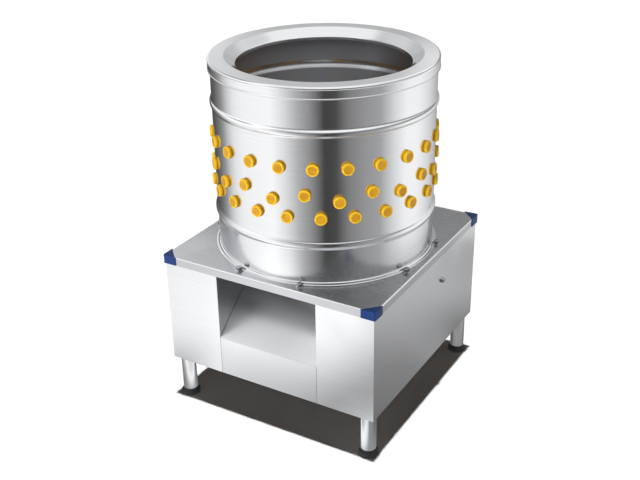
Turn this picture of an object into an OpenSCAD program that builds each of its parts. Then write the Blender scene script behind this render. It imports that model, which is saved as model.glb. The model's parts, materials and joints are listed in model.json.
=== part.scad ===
// Drum poultry plucker: a stainless drum with rubber fingers on a square cabinet,
// a finger plate turning on a belt-driven spindle, and a feather chute to the front.
// Millimetres, +Z up, the front of the cabinet faces -Y.
// Origin: centre of the footprint, on the floor.

/* [Cabinet] */
// Width of the deck from left to right
base_w = 600; // [560:1:700]
// Depth of the deck from front to back
base_d = 600; // [590:1:700]
// Height of the deck's top face above the floor
deck_h = 420; // [410:1:480]
// Height of the cabinet, from the lower edge of its panels to the deck
cabinet_h = 304; // [300:1:320]
// Thickness of the deck sheet
deck_t = 2; // [1.5:0.1:3]
// Depth of the turned-down edge of the deck
skirt_h = 22; // [20:1:30]
// Thickness of the cabinet panels
panel_t = 1.5; // [1:0.1:2]
// Width of one leg of the frame angles
angle_w = 30; // [26:1:32]
// Thickness of the frame angles
angle_t = 3; // [2:0.1:4]
// Vertical depth of the upper frame rails
top_rail_h = 18; // [14:1:20]
// Length of a corner cap along each side of the deck
cap_len = 36; // [30:1:50]
// Wall thickness of the corner caps
cap_t = 2; // [1.5:0.1:3]

/* [Legs and feet] */
// Outer diameter of the leg tubes
leg_d = 38; // [30:1:42]
// Wall thickness of the leg tubes
leg_wall = 1.5; // [1:0.1:3]
// Distance from the deck's edge to a leg's axis
leg_inset = 28; // [26:1:40]
// Diameter of a levelling foot
foot_d = 49; // [44:1:54]
// Height of a levelling foot's pad
foot_h = 16; // [12:1:20]
// Diameter of a foot's threaded stem
stem_d = 12; // [8:1:16]
// Length of a foot's threaded stem above its pad
stem_len = 52; // [46:1:60]

/* [Feather chute] */
// Width of the chute's mouth in the front of the cabinet
mouth_w = 284; // [240:1:300]
// Height of the chute's front apron above the panels' lower edge
apron_h = 106; // [90:1:120]
// Gap between the deck's water collar and the feather outlet
outlet_gap = 20; // [14:1:30]
// Seam between the apron and the front panels
seam_gap = 0.6; // [0.3:0.1:1.5]
// Thickness of the chute sheets
chute_t = 1.5; // [1:0.1:2]

/* [Drum] */
// Distance from the drum's wall to the edge of the deck
drum_inset = 24; // [22:1:30]
// Thickness of the drum's wall
drum_t = 2; // [1.5:0.1:2.5]
// Height from the deck to the top of the drum's rim
drum_h = 488; // [470:1:520]
// Height of the lower rolled bead above the deck
bead_low = 103; // [95:1:110]
// Height of the upper rolled bead above the deck
bead_high = 379; // [370:1:390]
// How far a rolled bead stands out of the wall
bead_out = 5; // [3:0.5:7]
// Half the height of a rolled bead
bead_half = 10; // [7:0.5:12]
// Width of the rim's flat top, from the drum's wall inward
rim_flat = 35; // [30:1:44]
// Width of the rim's sloping funnel
funnel_w = 27; // [20:1:36]
// Depth of the rim's sloping funnel
funnel_h = 20; // [14:1:26]
// Length of the straight lip below the funnel
lip_h = 8; // [6:1:12]
// Thickness of the rim's sheet
rim_t = 2; // [1.5:0.1:2.5]
// How far the rim's band stands out of the wall
band_out = 5; // [4.5:0.1:7]
// Height of the rim's band
band_h = 28; // [24:1:34]

/* [Fingers] */
// Number of finger columns round the drum
columns = 22; // [16:2:24]
// Height of the upper row of fingers above the deck
row_high = 295; // [285:1:305]
// Height of the middle row of fingers above the deck
row_mid = 223; // [218:1:228]
// How far the middle row's fingers step up and down by turns
row_zigzag = 8.5; // [0:0.5:12]
// Height of the lower row of fingers above the deck
row_low = 174; // [168:1:180]
// Diameter of a finger's head
head_d = 30; // [26:1:32]
// Thickness of a finger's head
head_h = 10; // [8:1:12]
// Diameter of the holes that the fingers are pulled through
finger_hole_d = 20; // [17:1:22]
// Diameter of a finger at its collar
collar_d = 26; // [23:1:28]
// Diameter of a finger at its tip
tip_d = 15; // [12:1:18]
// Length of a finger from the sheet to its tip
finger_len = 80; // [70:1:86]
// Number of ribs on a finger
ribs = 8; // [5:1:10]
// Height of a finger's ribs
rib_h = 1.4; // [0.8:0.1:2]

/* [Finger plate] */
// Gap between the turning finger plate and the inside of the drum
plate_gap = 13; // [9:1:24]
// Thickness of the finger plate
plate_t = 3; // [2:0.1:5]
// Height of the plate's underside above the deck
plate_lift = 42; // [40:1:48]
// Depth of the plate's turned-down edge
plate_edge = 9; // [6:1:12]
// Height of the feather scrapers under the plate
scraper_h = 36; // [24:1:38]
// Thickness of the feather scrapers
scraper_t = 4; // [3:0.5:6]

/* [Spindle] */
// Diameter of the spindle shaft
shaft_d = 30; // [30:1:30]
// Distance from the deck down to the spindle beam's top face
beam_drop = 80; // [72:1:90]
// Depth of the spindle beam's folded flanges
beam_flange = 36; // [30:1:40]
// Thickness of the spindle beam
beam_t = 5; // [4:0.5:6]
// Outer diameter of the spindle housing
housing_d = 84; // [78:1:90]
// Length of the spindle housing below the beam
housing_len = 112; // [100:1:120]
// Diameter of the spindle housing's flange
housing_flange_d = 130; // [124:1:140]
// Outer diameter of the ball bearings
bearing_d = 62; // [62:1:62]
// Width of the ball bearings
bearing_w = 16; // [16:1:16]

/* [Belt drive] */
// Pitch diameter of the pulley on the motor
small_pulley_d = 75; // [66:1:90]
// Gap between the rims of the two pulleys
pulley_gap = 23.5; // [10:0.5:34]
// Distance from the deck's rear edge to the motor shaft
motor_inset = 105; // [103:1:110]
// Distance from the lower rails' top down to the belt's middle
belt_drop = 13; // [12.5:0.5:18]
// Width of the belt across its back
belt_w = 13; // [13:1:13]
// Thickness of the belt
belt_t = 8; // [8:1:8]

/* [Motor] */
// Diameter of the motor over its fins
motor_d = 160; // [150:1:166]
// Gap between the motor's cowl and the underside of the deck
cowl_gap = 22; // [16:1:40]
// Diameter of the motor shaft
motor_shaft_d = 24; // [19:1:28]
// Number of cooling fins on the motor
fins = 28; // [16:1:32]

/* [Switch and inlet] */
// Width of the switch's bezel
switch_w = 72; // [64:1:90]
// Height of the switch's bezel
switch_h = 104; // [96:1:120]
// Diameter of a push button
button_d = 24; // [20:1:28]
// Diameter of the cable that the gland takes
cable_d = 10; // [6:0.5:12]

/* [Hidden] */
$fn = 64;

// Colours, as the photograph shows them
STEEL = [0.80, 0.81, 0.82];
DARK_STEEL = [0.45, 0.46, 0.48];
AMBER = [0.96, 0.70, 0.12];
BLUE = [0.15, 0.25, 0.55];
BLACK = [0.09, 0.09, 0.10];
MOTOR_GREY = [0.36, 0.42, 0.47];
GREEN = [0.10, 0.55, 0.25];
RED = [0.75, 0.10, 0.10];

// Clearances
slide_fit = 0.3;   // between pieces that move past each other
seat_fit = 0.05;   // between a rubber finger and its sheet
press_gap = 0.02;  // between a shaft and what is fixed on it
cut = 1;           // how far a cutting solid runs past what it cuts

// Heights and half sizes of the cabinet
deck_under = deck_h - deck_t;
panel_z = deck_h - cabinet_h;
half_w = base_w / 2 - deck_t;   // outer face of the side panels
half_d = base_d / 2 - deck_t;   // outer face of the front and rear panels
drum_r = min(base_w, base_d) / 2 - drum_inset;
in_w = half_w - panel_t;        // inner face of the side panels
in_d = half_d - panel_t;        // inner face of the front and rear panels
rail_z = panel_z + angle_w;     // top of the lower rails
cap_top = 1.6;                  // thickness of a cap over the deck
cap_round = 4;
gusset_lap = 20;                // how far a corner gusset laps the rails

// Legs
leg_x = base_w / 2 - leg_inset;
leg_y = base_d / 2 - leg_inset;
leg_z = foot_h + slide_fit;
leg_top = rail_z - angle_t;
insert_h = 24;                  // length of the threaded insert in a leg
foot_round = 2.5;
stem_tip = 1.5;

// Chute
collar_r = 50;                      // water collar round the shaft on the deck
collar_t = 4;
collar_h = 20;
apron_top = panel_z + apron_h;
outlet_inset = 14;                  // from the drum's wall to the hole in the deck
outlet_side = 3;                    // from a chute cheek to the hole in the deck
outlet_r = drum_r - outlet_inset;   // outer edge of the hole in the deck
outlet_half_w = mouth_w / 2 - outlet_side;
outlet_back = -collar_r - collar_t - outlet_gap;    // rear edge of the hole in the deck
slide_lap = 14;                     // how far the slide starts behind the hole
slide_back = outlet_back + slide_lap;
slide_angle = atan2(deck_under - apron_top, slide_back + half_d);
slide_flange = 20;                  // flange of the slide under the deck
fold_relief = 1.5;                  // rounding of the fold above the apron
cheek_lap = 12;                     // how far the cheeks reach below the slide
cheek_flange = 14;

// Drum
drum_in_r = drum_r - drum_t;
drum_top = deck_h + drum_h;
wall_top = drum_top - rim_t;
pitch = 360 / columns;
row_phase = [294.5, 290.5, 298.0];  // a column's angle in the upper, middle and lower row
foot_ring_w = 10;
foot_ring_t = 3;
foot_bead_r = 4.8;
bolt_out = 13;                      // from the drum's wall to the bolts that hold it
bolt_r = drum_r + bolt_out;
bolt_spread = 17.5;                 // angle from a side's middle to each of its two bolts
bolt_d = 8;
head_af = 13;                       // size across the flats of an M8 head
head_t = 5.3;
washer_d = 16;
washer_t = 1.6;
nut_t = 6.5;
head_chamfer = 1;
bolt_play = 0.6;                    // a bolt's hole over its shank
bolt_end = 2;                       // a bolt's end past its nut
ear_r = 9;
BOLT_ANGLES = [for (side = [0 : 3], turn = [-1, 1]) side * 90 + turn * bolt_spread];
hole_reach = 8;                     // how far the cutters of the drum's holes run
lip_round = 5;                      // rounding of the rim's outer edge
arc_step = 15;                      // turn between two points of a rounded outline, in degrees
funnel_r = drum_r - rim_flat;
mouth_r = funnel_r - funnel_w;
groove_w = 1.2;                     // fine groove under the rim's rounded edge
hem_r = 2.5;                        // rolled edge of the rim's band
hem_out = 1;                        // how far the rolled edge stands out of the band
hem_step = 13;                      // turn between two points of the rolled edge, in degrees

// Fingers
drum_grip = drum_t + 0.5;           // the wall's curve makes a flat collar sit further in
finger_collar_h = 5;
finger_tip_h = 3;
head_edge = 3;                      // rounding of a head's edge
head_edge_step = 30;
head_bevel = 0.6;                   // bevel of a head's edge against the sheet
rib_share = 0.4;                    // share of a rib's pitch that its top takes
tip_bevel = 2.5;
dish_r = 11;                        // shallow dish in a head's face
dish_depth = 0.8;

// Finger plate and spindle
plate_z = deck_h + plate_lift;
plate_r = drum_in_r - plate_gap;
hub_r = 62;
ring_gap = 17;                      // between the hub and the heads of the inner ring
ring_edge = 35;                     // from the plate's edge to the outer ring
RING_COUNTS = [6, 9, 12];
RING_STARTS = [30, 20, 15];         // first angles, which keep the heads off the scrapers
ring_in = hub_r + head_d / 2 + ring_gap;
ring_step = (plate_r - ring_edge - ring_in) / 2;
PLATE_PLACES = [for (k = [0 : 2], i = [0 : RING_COUNTS[k] - 1])
    [ring_in + k * ring_step, RING_STARTS[k] + i * 360 / RING_COUNTS[k]]];
plate_round = 2;
SCRAPER_ANGLES = [0, 120, 240];
scraper_gap = 8;                    // between the hub's skirt and a scraper
scraper_nose = 6;
scraper_foot = 12;
hub_bolt_r = 40;
HUB_BOLT_ANGLES = [0, 90, 180, 270];
hub_skirt_lap = 10;                 // how far the hub's skirt reaches below the collar's top
thrower_r = 24;                     // water thrower on the shaft
thrower_t = 4;
thrower_gap = 3;
hub_t = 8;
hub_boss_r = 26;
hub_boss_drop = 10;                 // how far the boss reaches below the deck's top
hub_boss_z = deck_h - hub_boss_drop;
drip_r = 60;                        // skirt of the hub outside the deck's collar
drip_t = 4;
shaft_r = shaft_d / 2;
shaft_chamfer = 1.5;
shaft_recess = 3;                   // from the pulley's underside up to the shaft's end
thread_r = 10;
thread_len = 22;
thread_top = plate_z + plate_t + thread_len;
cap_washer_r = 24;
cap_washer_t = 3;
cap_nut_r = 17;
cap_nut_h = 18;
dome_h = 9;
dome_step = 30;
seat_r = bearing_d / 2;
inner_ring_r = 19.5;
shoulder_r = 27;
housing_play = 0.6;
HOUSING_BOLT_ANGLES = [45, 135, 225, 315];
beam_z = deck_h - beam_drop;
housing_z = beam_z - housing_len;
housing_flange_t = 10;
housing_chamfer = 2;
upper_bearing_drop = 2;               // from the beam's top down to the upper bearing
upper_bearing_z = beam_z - upper_bearing_drop - bearing_w;
lower_seal_t = 8;
lower_bearing_z = housing_z + lower_seal_t;
housing_bolt_r = 54;
motor_y = base_d / 2 - motor_inset;
motor_r = motor_d / 2;
beam_gap = 15;                        // between the beam and the motor's fins
beam_bolt_inset = 17;
beam_front = -housing_flange_d / 2 - beam_t;
beam_back = motor_y - motor_r - beam_gap;
beam_bolt_y = beam_back - beam_bolt_inset;
beam_bolt_z = beam_z - beam_flange / 2;

// Belt drive
belt_z = rail_z - belt_drop;
pulley_w = 20;
groove_r = 5.2;                     // depth of a groove below the pitch line
rim_over = 4.5;                     // rim of a pulley above the pitch line
small_pitch_r = small_pulley_d / 2;
big_pitch_r = motor_y - small_pitch_r - 2 * rim_over - pulley_gap;
shaft_z = belt_z - pulley_w / 2 + shaft_recess;
belt_fit = 0.35;
groove_half = belt_w / 2 + belt_fit;
belt_angle = 19;                    // slope of the belt's and the groove's sides
belt_taper = tan(belt_angle);
belt_over = 3.2;                    // top of the belt above the pitch line
belt_step = 5;                      // turn between two sections of the belt, in degrees
pulley_rim_t = 12;
pulley_hub_r = 26;
web_t = 6;
web_holes = 6;
web_hole_r = 22;
hub_over = 2;
small_hub_r = 24;
shaft_end = 2;

// Motor
bar_h = 40;                         // height of the crossbars that carry the motor
bar_top = rail_z + bar_h;
bar_w = 40;
bar_t = 4;
plate_fore = 87;                    // reach of the motor plate in front of the shaft
plate_aft = 91;                     // reach of the motor plate behind the shaft
bar_front = motor_y - plate_fore;
bar_back = motor_y + plate_aft;
bar_play = 0.5;
bar_half = in_w - angle_t - bar_play;
motor_plate_t = 8;
plate_half_w = 90;
plate_bolt_x = 78;
pilot_r = 32;
slot_len = 24;
motor_z = bar_top + motor_plate_t;  // face of the motor's flange
shield_t = 10;
frame_z = motor_z + shield_t;
fin_h = 8;
cowl_h = 46;
cowl_z = deck_under - cowl_gap - cowl_h;
frame_top = cowl_z - shield_t;
motor_h = frame_top - frame_z;
motor_bolt_r = 66;
MOTOR_BOLT_ANGLES = [-20, 20, 160, 200];
fin_t = 3;
cowl_t = 2;
cowl_slots = 24;
cowl_slot_w = 5;
cowl_slot_in = 28;
cowl_edge = 10;
fan_lift = 8;
fan_z = cowl_z + fan_lift;
fan_h = 24;
fan_blade_h = 22;
fan_gap = 6;                        // between the fan and the cowl
fan_r = motor_r - fin_h - fan_gap;
fan_tip = 4;                        // how far the blades reach past the fan's disc
fan_hub_r = 20;
fan_blades = 8;
fan_blade_t = 3;
fan_disc_t = 3;
box_w = 76;
box_h = 76;
box_z = frame_z + (motor_h - box_h) / 2;
box_depth = 40;
box_sink = 4;
box_lid_t = 5;
box_lid_over = 2;
lid_screw_r = 3.5;
lid_screw_t = 2;
lid_screw_inset = 5;

// Switch and gland, on the rear panel
inlet_drop = 120;                   // from the deck's top down to the switch and the gland
switch_x = -150;
switch_z = deck_h - inlet_drop;
button_gap = 44;                    // distance between the two buttons
bezel_t = 4;
button_out = 5;                     // how far a button stands out of the bezel
gland_x = 150;
gland_z = deck_h - inlet_drop;
gland_r = 10;
gland_hex = 26;
gland_flange = 4;
gland_out = 7;                      // how far the gland stands out of the panel
gland_len = 22;
gland_nut = 5;
cable_play = 0.25;
bezel_round = 8;
switch_body_w = 60;
switch_body_h = 92;
switch_depth = 45;
switch_play = 1;
button_len = 16;
button_pocket = 20;
button_dish = 0.8;
button_rim = 2.5;
button_round = 0.8;

CORNERS = [[-1, -1], [1, -1], [-1, 1], [1, 1]]; // front left, front right, rear left, rear right

// Shared shapes

// A ring standing on z = 0
module ring(outer_r, inner_r, height) {
    difference() {
        cylinder(r = outer_r, h = height);
        translate([0, 0, -cut]) cylinder(r = inner_r, h = height + 2 * cut);
    }
}

// A six-sided prism of a given size across its flats
module hexagon(across_flats, height) {
    cylinder(d = across_flats / cos(30), h = height, $fn = 6);
}

// A hex bolt with its washer, standing on z = 0 with its shank below
module hex_bolt(shank_len) {
    translate([0, 0, washer_t]) {
        hexagon(head_af, head_t - head_chamfer);
        translate([0, 0, head_t - head_chamfer])
            cylinder(r1 = head_af / 2, r2 = head_af / 2 - head_chamfer, h = head_chamfer);
    }
    cylinder(d = washer_d, h = washer_t);
    translate([0, 0, -shank_len]) cylinder(d = bolt_d, h = shank_len);
}

// A nut hanging below z = 0
module nut() {
    translate([0, 0, -nut_t]) difference() {
        hexagon(head_af, nut_t);
        translate([0, 0, -cut]) cylinder(d = bolt_d + 2 * press_gap, h = nut_t + 2 * cut);
    }
}

// Places a child at a corner of the cabinet, mirrored to face it
module at_corner(c) {
    mirror([c[0] < 0 ? 1 : 0, 0, 0]) mirror([0, c[1] < 0 ? 1 : 0, 0]) children();
}

// An angle section in the quadrant below and inside its outer corner [x, y]
module angle_outline(x, y, width, thickness) {
    difference() {
        translate([x - width, y - width]) square(width);
        translate([x - width - cut, y - width - cut]) square(width - thickness + cut);
    }
}

// A rubber finger: its head below z = 0, a neck through a sheet, then a ribbed cone
module finger(grip) {
    head_r = head_d / 2;
    collar_r1 = collar_d / 2;
    slope = (collar_d - tip_d) / 2 / finger_len;
    rib_pitch = (finger_len - finger_collar_h - finger_tip_h) / ribs;
    rib_land = rib_pitch * rib_share;
    body = [for (i = [0 : ribs - 1])
        let (z0 = finger_collar_h + (i + rib_share) * rib_pitch, z1 = z0 + rib_land)
        each [[collar_r1 - slope * z0 - rib_h, grip + z0 - rib_h], [collar_r1 - slope * z0, grip + z0],
            [collar_r1 - slope * z1, grip + z1], [collar_r1 - slope * z1 - rib_h, grip + z1 + rib_h]]];
    edge = [for (a = [0 : head_edge_step : 90])
        [head_r - head_edge * (1 - sin(a)), head_edge * (1 - cos(a)) - head_h]];
    neck_r = finger_hole_d / 2 - seat_fit;
    rotate_extrude() polygon(concat(
        [[0, dish_depth - head_h], [dish_r - dish_depth, dish_depth - head_h], [dish_r, -head_h]],
        edge,
        [[head_r, -head_bevel], [head_r - head_bevel, 0], [neck_r, 0],
            [neck_r, grip], [collar_r1, grip], [collar_r1, grip + finger_collar_h]],
        body,
        [[tip_d / 2, grip + finger_len - finger_tip_h], [tip_d / 2 - tip_bevel, grip + finger_len],
            [0, grip + finger_len]]));
}

// Points a finger from outside the drum towards its axis
module wall_finger(angle, height) {
    rotate([0, 0, angle]) translate([drum_r, 0, deck_h + height]) rotate([0, -90, 0])
        finger(drum_grip);
}

// Cabinet

module deck_panel() {
    color(STEEL) difference() {
        union() {
            difference() {
                translate([-base_w / 2, -base_d / 2, deck_h - skirt_h]) cube([base_w, base_d, skirt_h]);
                translate([-half_w, -half_d, deck_h - skirt_h - cut])
                    cube([2 * half_w, 2 * half_d, skirt_h - deck_t + cut]);
            }
            translate([0, 0, deck_under]) cylinder(r = collar_r + collar_t, h = deck_t + collar_h);
        }
        translate([0, 0, deck_under - cut]) cylinder(r = collar_r, h = deck_t + collar_h + 2 * cut);
        translate([0, 0, deck_under - cut]) linear_extrude(deck_t + 2 * cut) outlet_outline();
        for (a = BOLT_ANGLES) rotate([0, 0, a]) translate([bolt_r, 0, deck_under - cut])
            cylinder(d = bolt_d + bolt_play, h = deck_t + 2 * cut);
    }
}

// The hole in the deck that the feathers fall through
module outlet_outline() {
    intersection() {
        circle(r = outlet_r);
        translate([-outlet_half_w, -outlet_r]) square([2 * outlet_half_w, outlet_r + outlet_back]);
    }
}

module front_panel(side) {
    color(STEEL) mirror([side < 0 ? 1 : 0, 0, 0])
        translate([mouth_w / 2, -half_d, panel_z])
            cube([half_w - mouth_w / 2, panel_t, deck_under - panel_z]);
}

module side_panel(side) {
    color(STEEL) mirror([side < 0 ? 1 : 0, 0, 0]) difference() {
        translate([in_w, -in_d, panel_z]) cube([panel_t, 2 * in_d, deck_under - panel_z]);
        translate([in_w - cut, beam_bolt_y, beam_bolt_z]) rotate([0, 90, 0])
            cylinder(d = bolt_d + bolt_play, h = panel_t + 2 * cut);
    }
}

module rear_panel() {
    color(STEEL) difference() {
        translate([-half_w, in_d, panel_z]) cube([2 * half_w, panel_t, deck_under - panel_z]);
        translate([switch_x - switch_body_w / 2 - switch_play, in_d - cut,
                switch_z - switch_body_h / 2 - switch_play])
            cube([switch_body_w + 2 * switch_play, panel_t + 2 * cut,
                switch_body_h + 2 * switch_play]);
        translate([gland_x, half_d + cut, gland_z]) rotate([90, 0, 0])
            cylinder(r = gland_r + seat_fit, h = panel_t + 2 * cut);
    }
}

// Apron and slide, folded from one sheet
module chute_slide() {
    fold_y = -half_d + chute_t;
    drop = chute_t / cos(slide_angle);
    color(STEEL) translate([-mouth_w / 2 + seam_gap, 0, 0]) rotate([90, 0, 90])
        linear_extrude(mouth_w - 2 * seam_gap) union() {
            polygon([[-half_d, panel_z], [-half_d, apron_top - fold_relief],
                [-half_d + fold_relief, apron_top + fold_relief * tan(slide_angle)],
                [slide_back, deck_under], [slide_back + chute_t / sin(slide_angle), deck_under],
                [fold_y, apron_top + chute_t * tan(slide_angle) - drop], [fold_y, panel_z]]);
            translate([slide_back, deck_under - chute_t]) square([slide_flange, chute_t]);
        }
}

// Side walls of the chute, with a flange turned out behind each front panel
module chute_cheeks() {
    rail_gap_z = deck_under - top_rail_h - slide_fit;
    rail_gap_y = -in_d + angle_t + slide_fit;
    low_z = apron_top - cheek_lap;
    color(STEEL) for (side = [0, 1]) mirror([side, 0, 0]) {
        translate([mouth_w / 2, 0, 0]) rotate([90, 0, 90]) linear_extrude(chute_t)
            polygon([[-in_d, low_z], [-in_d, rail_gap_z], [rail_gap_y, rail_gap_z],
                [rail_gap_y, deck_under], [slide_back + slide_flange, deck_under],
                [slide_back + slide_flange, deck_under - cheek_lap],
                [slide_back + slide_flange - (deck_under - cheek_lap - low_z) / tan(slide_angle),
                    low_z]]);
        translate([mouth_w / 2 + chute_t, -in_d, low_z])
            cube([cheek_flange, chute_t, rail_gap_z - low_z]);
    }
}

module corner_posts() {
    color(STEEL) for (c = CORNERS) at_corner(c) translate([0, 0, panel_z])
        linear_extrude(deck_under - panel_z) angle_outline(in_w, in_d, angle_w, angle_t);
}

// Rails between the posts: a wall angle along each side of the cabinet
module top_rails() {
    color(STEEL) for (side = [0, 1]) {
        mirror([side, 0, 0]) translate([in_w - angle_t, -in_d + angle_w, deck_under - top_rail_h])
            cube([angle_t, 2 * (in_d - angle_w), top_rail_h]);
        mirror([0, side, 0]) translate([-in_w + angle_w, in_d - angle_t, deck_under - top_rail_h])
            cube([2 * (in_w - angle_w), angle_t, top_rail_h]);
    }
}

module bottom_rails() {
    gusset = angle_w - angle_t + gusset_lap;
    color(STEEL) {
        for (side = [0, 1]) {
            mirror([side, 0, 0]) translate([0, in_d - angle_w, 0]) rotate([90, 0, 0])
                linear_extrude(2 * (in_d - angle_w)) angle_outline(in_w, rail_z, angle_w, angle_t);
            mirror([0, side, 0]) translate([-in_w + angle_w, 0, 0]) rotate([90, 0, 90])
                linear_extrude(2 * (in_w - angle_w)) angle_outline(in_d, rail_z, angle_w, angle_t);
        }
        for (c = CORNERS) at_corner(c)
            translate([in_w - angle_t - gusset, in_d - angle_t - gusset, rail_z - angle_t])
                cube([gusset, gusset, angle_t]);
    }
}

// A moulded cap over one corner of the deck, cut off slantwise on top
module corner_cap(c) {
    x = base_w / 2;
    y = base_d / 2;
    color(BLUE) at_corner(c) {
        translate([0, 0, deck_h - skirt_h]) linear_extrude(skirt_h + cap_top) difference() {
            cap_outline(x + cap_t, y + cap_t, cap_len + cap_t, cap_round);
            translate([x - cap_len - cut, y - cap_len - cut]) square(cap_len + cut);
        }
        translate([0, 0, deck_h]) linear_extrude(cap_top) intersection() {
            cap_outline(x + cap_t, y + cap_t, cap_len + cap_t, cap_round);
            polygon([[x - cap_len, y + cap_t], [x + cap_t, y - cap_len], [x + cap_t, y + cap_t]]);
        }
    }
}

// A square with one rounded outer corner at [x, y]
module cap_outline(x, y, size, round) {
    translate([x - size, y - size]) square([size - round, size]);
    translate([x - size, y - size]) square([size, size - round]);
    translate([x - round, y - round]) circle(r = round);
}

// A polished tube with a threaded insert welded in its lower end
module leg(c) {
    bore_r = leg_d / 2 - leg_wall;
    insert_r = stem_d / 2 + slide_fit;
    color(STEEL) translate([c[0] * leg_x, c[1] * leg_y, 0]) rotate_extrude()
        polygon([[insert_r, leg_z], [leg_d / 2, leg_z], [leg_d / 2, leg_top], [bore_r, leg_top],
            [bore_r, leg_z + insert_h], [insert_r, leg_z + insert_h]]);
}

// A black pad moulded on a threaded stem
module foot(c) {
    r = foot_d / 2;
    color(BLACK) translate([c[0] * leg_x, c[1] * leg_y, 0]) rotate_extrude() {
        polygon([[0, 0], [r - foot_round, 0], [r, foot_round], [r, foot_h - foot_round],
            [r - foot_round, foot_h], [0, foot_h]]);
        polygon([[0, foot_h - cut], [stem_d / 2, foot_h - cut],
            [stem_d / 2, foot_h + stem_len - stem_tip], [stem_d / 2 - stem_tip, foot_h + stem_len],
            [0, foot_h + stem_len]]);
    }
}

// Drum

// The wall's outline in section, with two beads rolled outward
module drum_outline() {
    bead_r = (bead_half * bead_half + bead_out * bead_out) / (2 * bead_out);
    bead_x = drum_r + bead_out - bead_r;
    difference() {
        union() {
            translate([drum_in_r, deck_h]) square([drum_t, wall_top - deck_h]);
            for (h = [bead_low, bead_high]) intersection() {
                translate([bead_x, deck_h + h]) circle(r = bead_r);
                translate([drum_in_r, deck_h + h - bead_r]) square([bead_r, 2 * bead_r]);
            }
        }
        for (h = [bead_low, bead_high]) translate([bead_x, deck_h + h]) circle(r = bead_r - drum_t);
    }
}

module drum_shell() {
    color(STEEL) difference() {
        rotate_extrude($fn = 128) drum_outline();
        for (row = [0 : 2], i = [0 : columns - 1])
            rotate([0, 0, row_phase[row] + i * pitch])
                translate([drum_in_r - hole_reach, 0, deck_h + finger_height(row, i)]) rotate([0, 90, 0])
                    cylinder(d = finger_hole_d, h = drum_t + 2 * hole_reach, $fn = 32);
    }
}

// Height of a finger above the deck: the middle row steps up and down by turns
function finger_height(row, i) =
    row == 0 ? row_high : row == 2 ? row_low : row_mid + row_zigzag * (i % 2 == 0 ? 1 : -1);

// One folded ring: a lip and a funnel inside, a flat top, and a band with a rolled hem outside
module rim_ring() {
    band_r = drum_r + band_out;
    funnel_z = drum_top - funnel_h;
    band_z = drum_top - band_h;
    x = band_r - lip_round;
    z = drum_top - lip_round;
    groove_z = z - groove_w;
    inner_round = lip_round - rim_t;
    hem_x = band_r - hem_r + hem_out;
    hem_from = acos((band_r - hem_x) / hem_r);
    hem_to = acos((band_r - rim_t - hem_x) / hem_r) - 360;
    color(STEEL) rotate_extrude($fn = 128)
        polygon(concat(
            [[mouth_r, funnel_z - lip_h], [mouth_r, funnel_z], [funnel_r, drum_top]],
            [for (a = [90 : -arc_step : 0]) [x + lip_round * cos(a), z + lip_round * sin(a)]],
            [[band_r, groove_z + groove_w / 2], [band_r - groove_w / 2, groove_z],
                [band_r, groove_z - groove_w / 2]],
            [for (a = [hem_from : -hem_step : hem_to])
                [hem_x + hem_r * cos(a), band_z + hem_r * sin(a)]],
            [[band_r - rim_t, band_z + hem_r * sin(hem_to)]],
            [for (a = [0 : arc_step : 90]) [x + inner_round * cos(a), z + inner_round * sin(a)]],
            [[funnel_r, drum_top - rim_t], [mouth_r + rim_t, funnel_z - rim_t / 2],
                [mouth_r + rim_t, funnel_z - lip_h]]));
}

// Foot of the drum: a rolled ring with an ear at each bolt
module drum_foot_ring() {
    color(STEEL) difference() {
        union() {
            translate([0, 0, deck_h]) rotate_extrude($fn = 128) {
                translate([drum_r, 0]) square([foot_ring_w, foot_ring_t]);
                translate([drum_r, 0]) square([foot_bead_r, foot_ring_t + foot_bead_r]);
            }
            for (a = BOLT_ANGLES) rotate([0, 0, a]) translate([0, 0, deck_h]) intersection() {
                translate([bolt_r, 0, 0]) cylinder(r = ear_r, h = foot_ring_t);
                translate([drum_r + foot_bead_r / 2, -ear_r, -cut])
                    cube([2 * ear_r, 2 * ear_r, foot_ring_t + 2 * cut]);
            }
        }
        for (a = BOLT_ANGLES) rotate([0, 0, a]) translate([bolt_r, 0, deck_h - cut])
            cylinder(d = bolt_d + bolt_play, h = foot_ring_t + 2 * cut);
    }
}

module drum_bolts() {
    color(STEEL) for (a = BOLT_ANGLES) rotate([0, 0, a]) translate([bolt_r, 0, deck_h + foot_ring_t])
        hex_bolt(foot_ring_t + deck_t + nut_t + bolt_end);
}

module drum_nuts() {
    color(STEEL) for (a = BOLT_ANGLES) rotate([0, 0, a]) translate([bolt_r, 0, deck_under]) nut();
}

module wall_fingers(row) {
    color(AMBER) for (i = [0 : columns - 1])
        wall_finger(row_phase[row] + i * pitch, finger_height(row, i));
}

// Spindle beam and housing

// A folded channel across the cabinet that carries the spindle housing
module spindle_beam() {
    depth = beam_back - beam_front;
    color(STEEL) difference() {
        translate([-in_w, beam_front, beam_z - beam_flange])
            cube([2 * in_w, depth, beam_flange]);
        translate([-in_w + beam_t, beam_front + beam_t, beam_z - beam_flange - cut])
            cube([2 * (in_w - beam_t), depth - 2 * beam_t, beam_flange - beam_t + cut]);
        translate([0, 0, beam_z - beam_t - cut])
            cylinder(d = housing_d + housing_play, h = beam_t + 2 * cut);
        for (a = HOUSING_BOLT_ANGLES) rotate([0, 0, a])
            translate([housing_bolt_r, 0, beam_z - beam_t - cut])
                cylinder(d = bolt_d + bolt_play, h = beam_t + 2 * cut);
        translate([-in_w - cut, beam_bolt_y, beam_bolt_z]) rotate([0, 90, 0])
            cylinder(d = bolt_d + bolt_play, h = 2 * (in_w + cut));
    }
}

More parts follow.
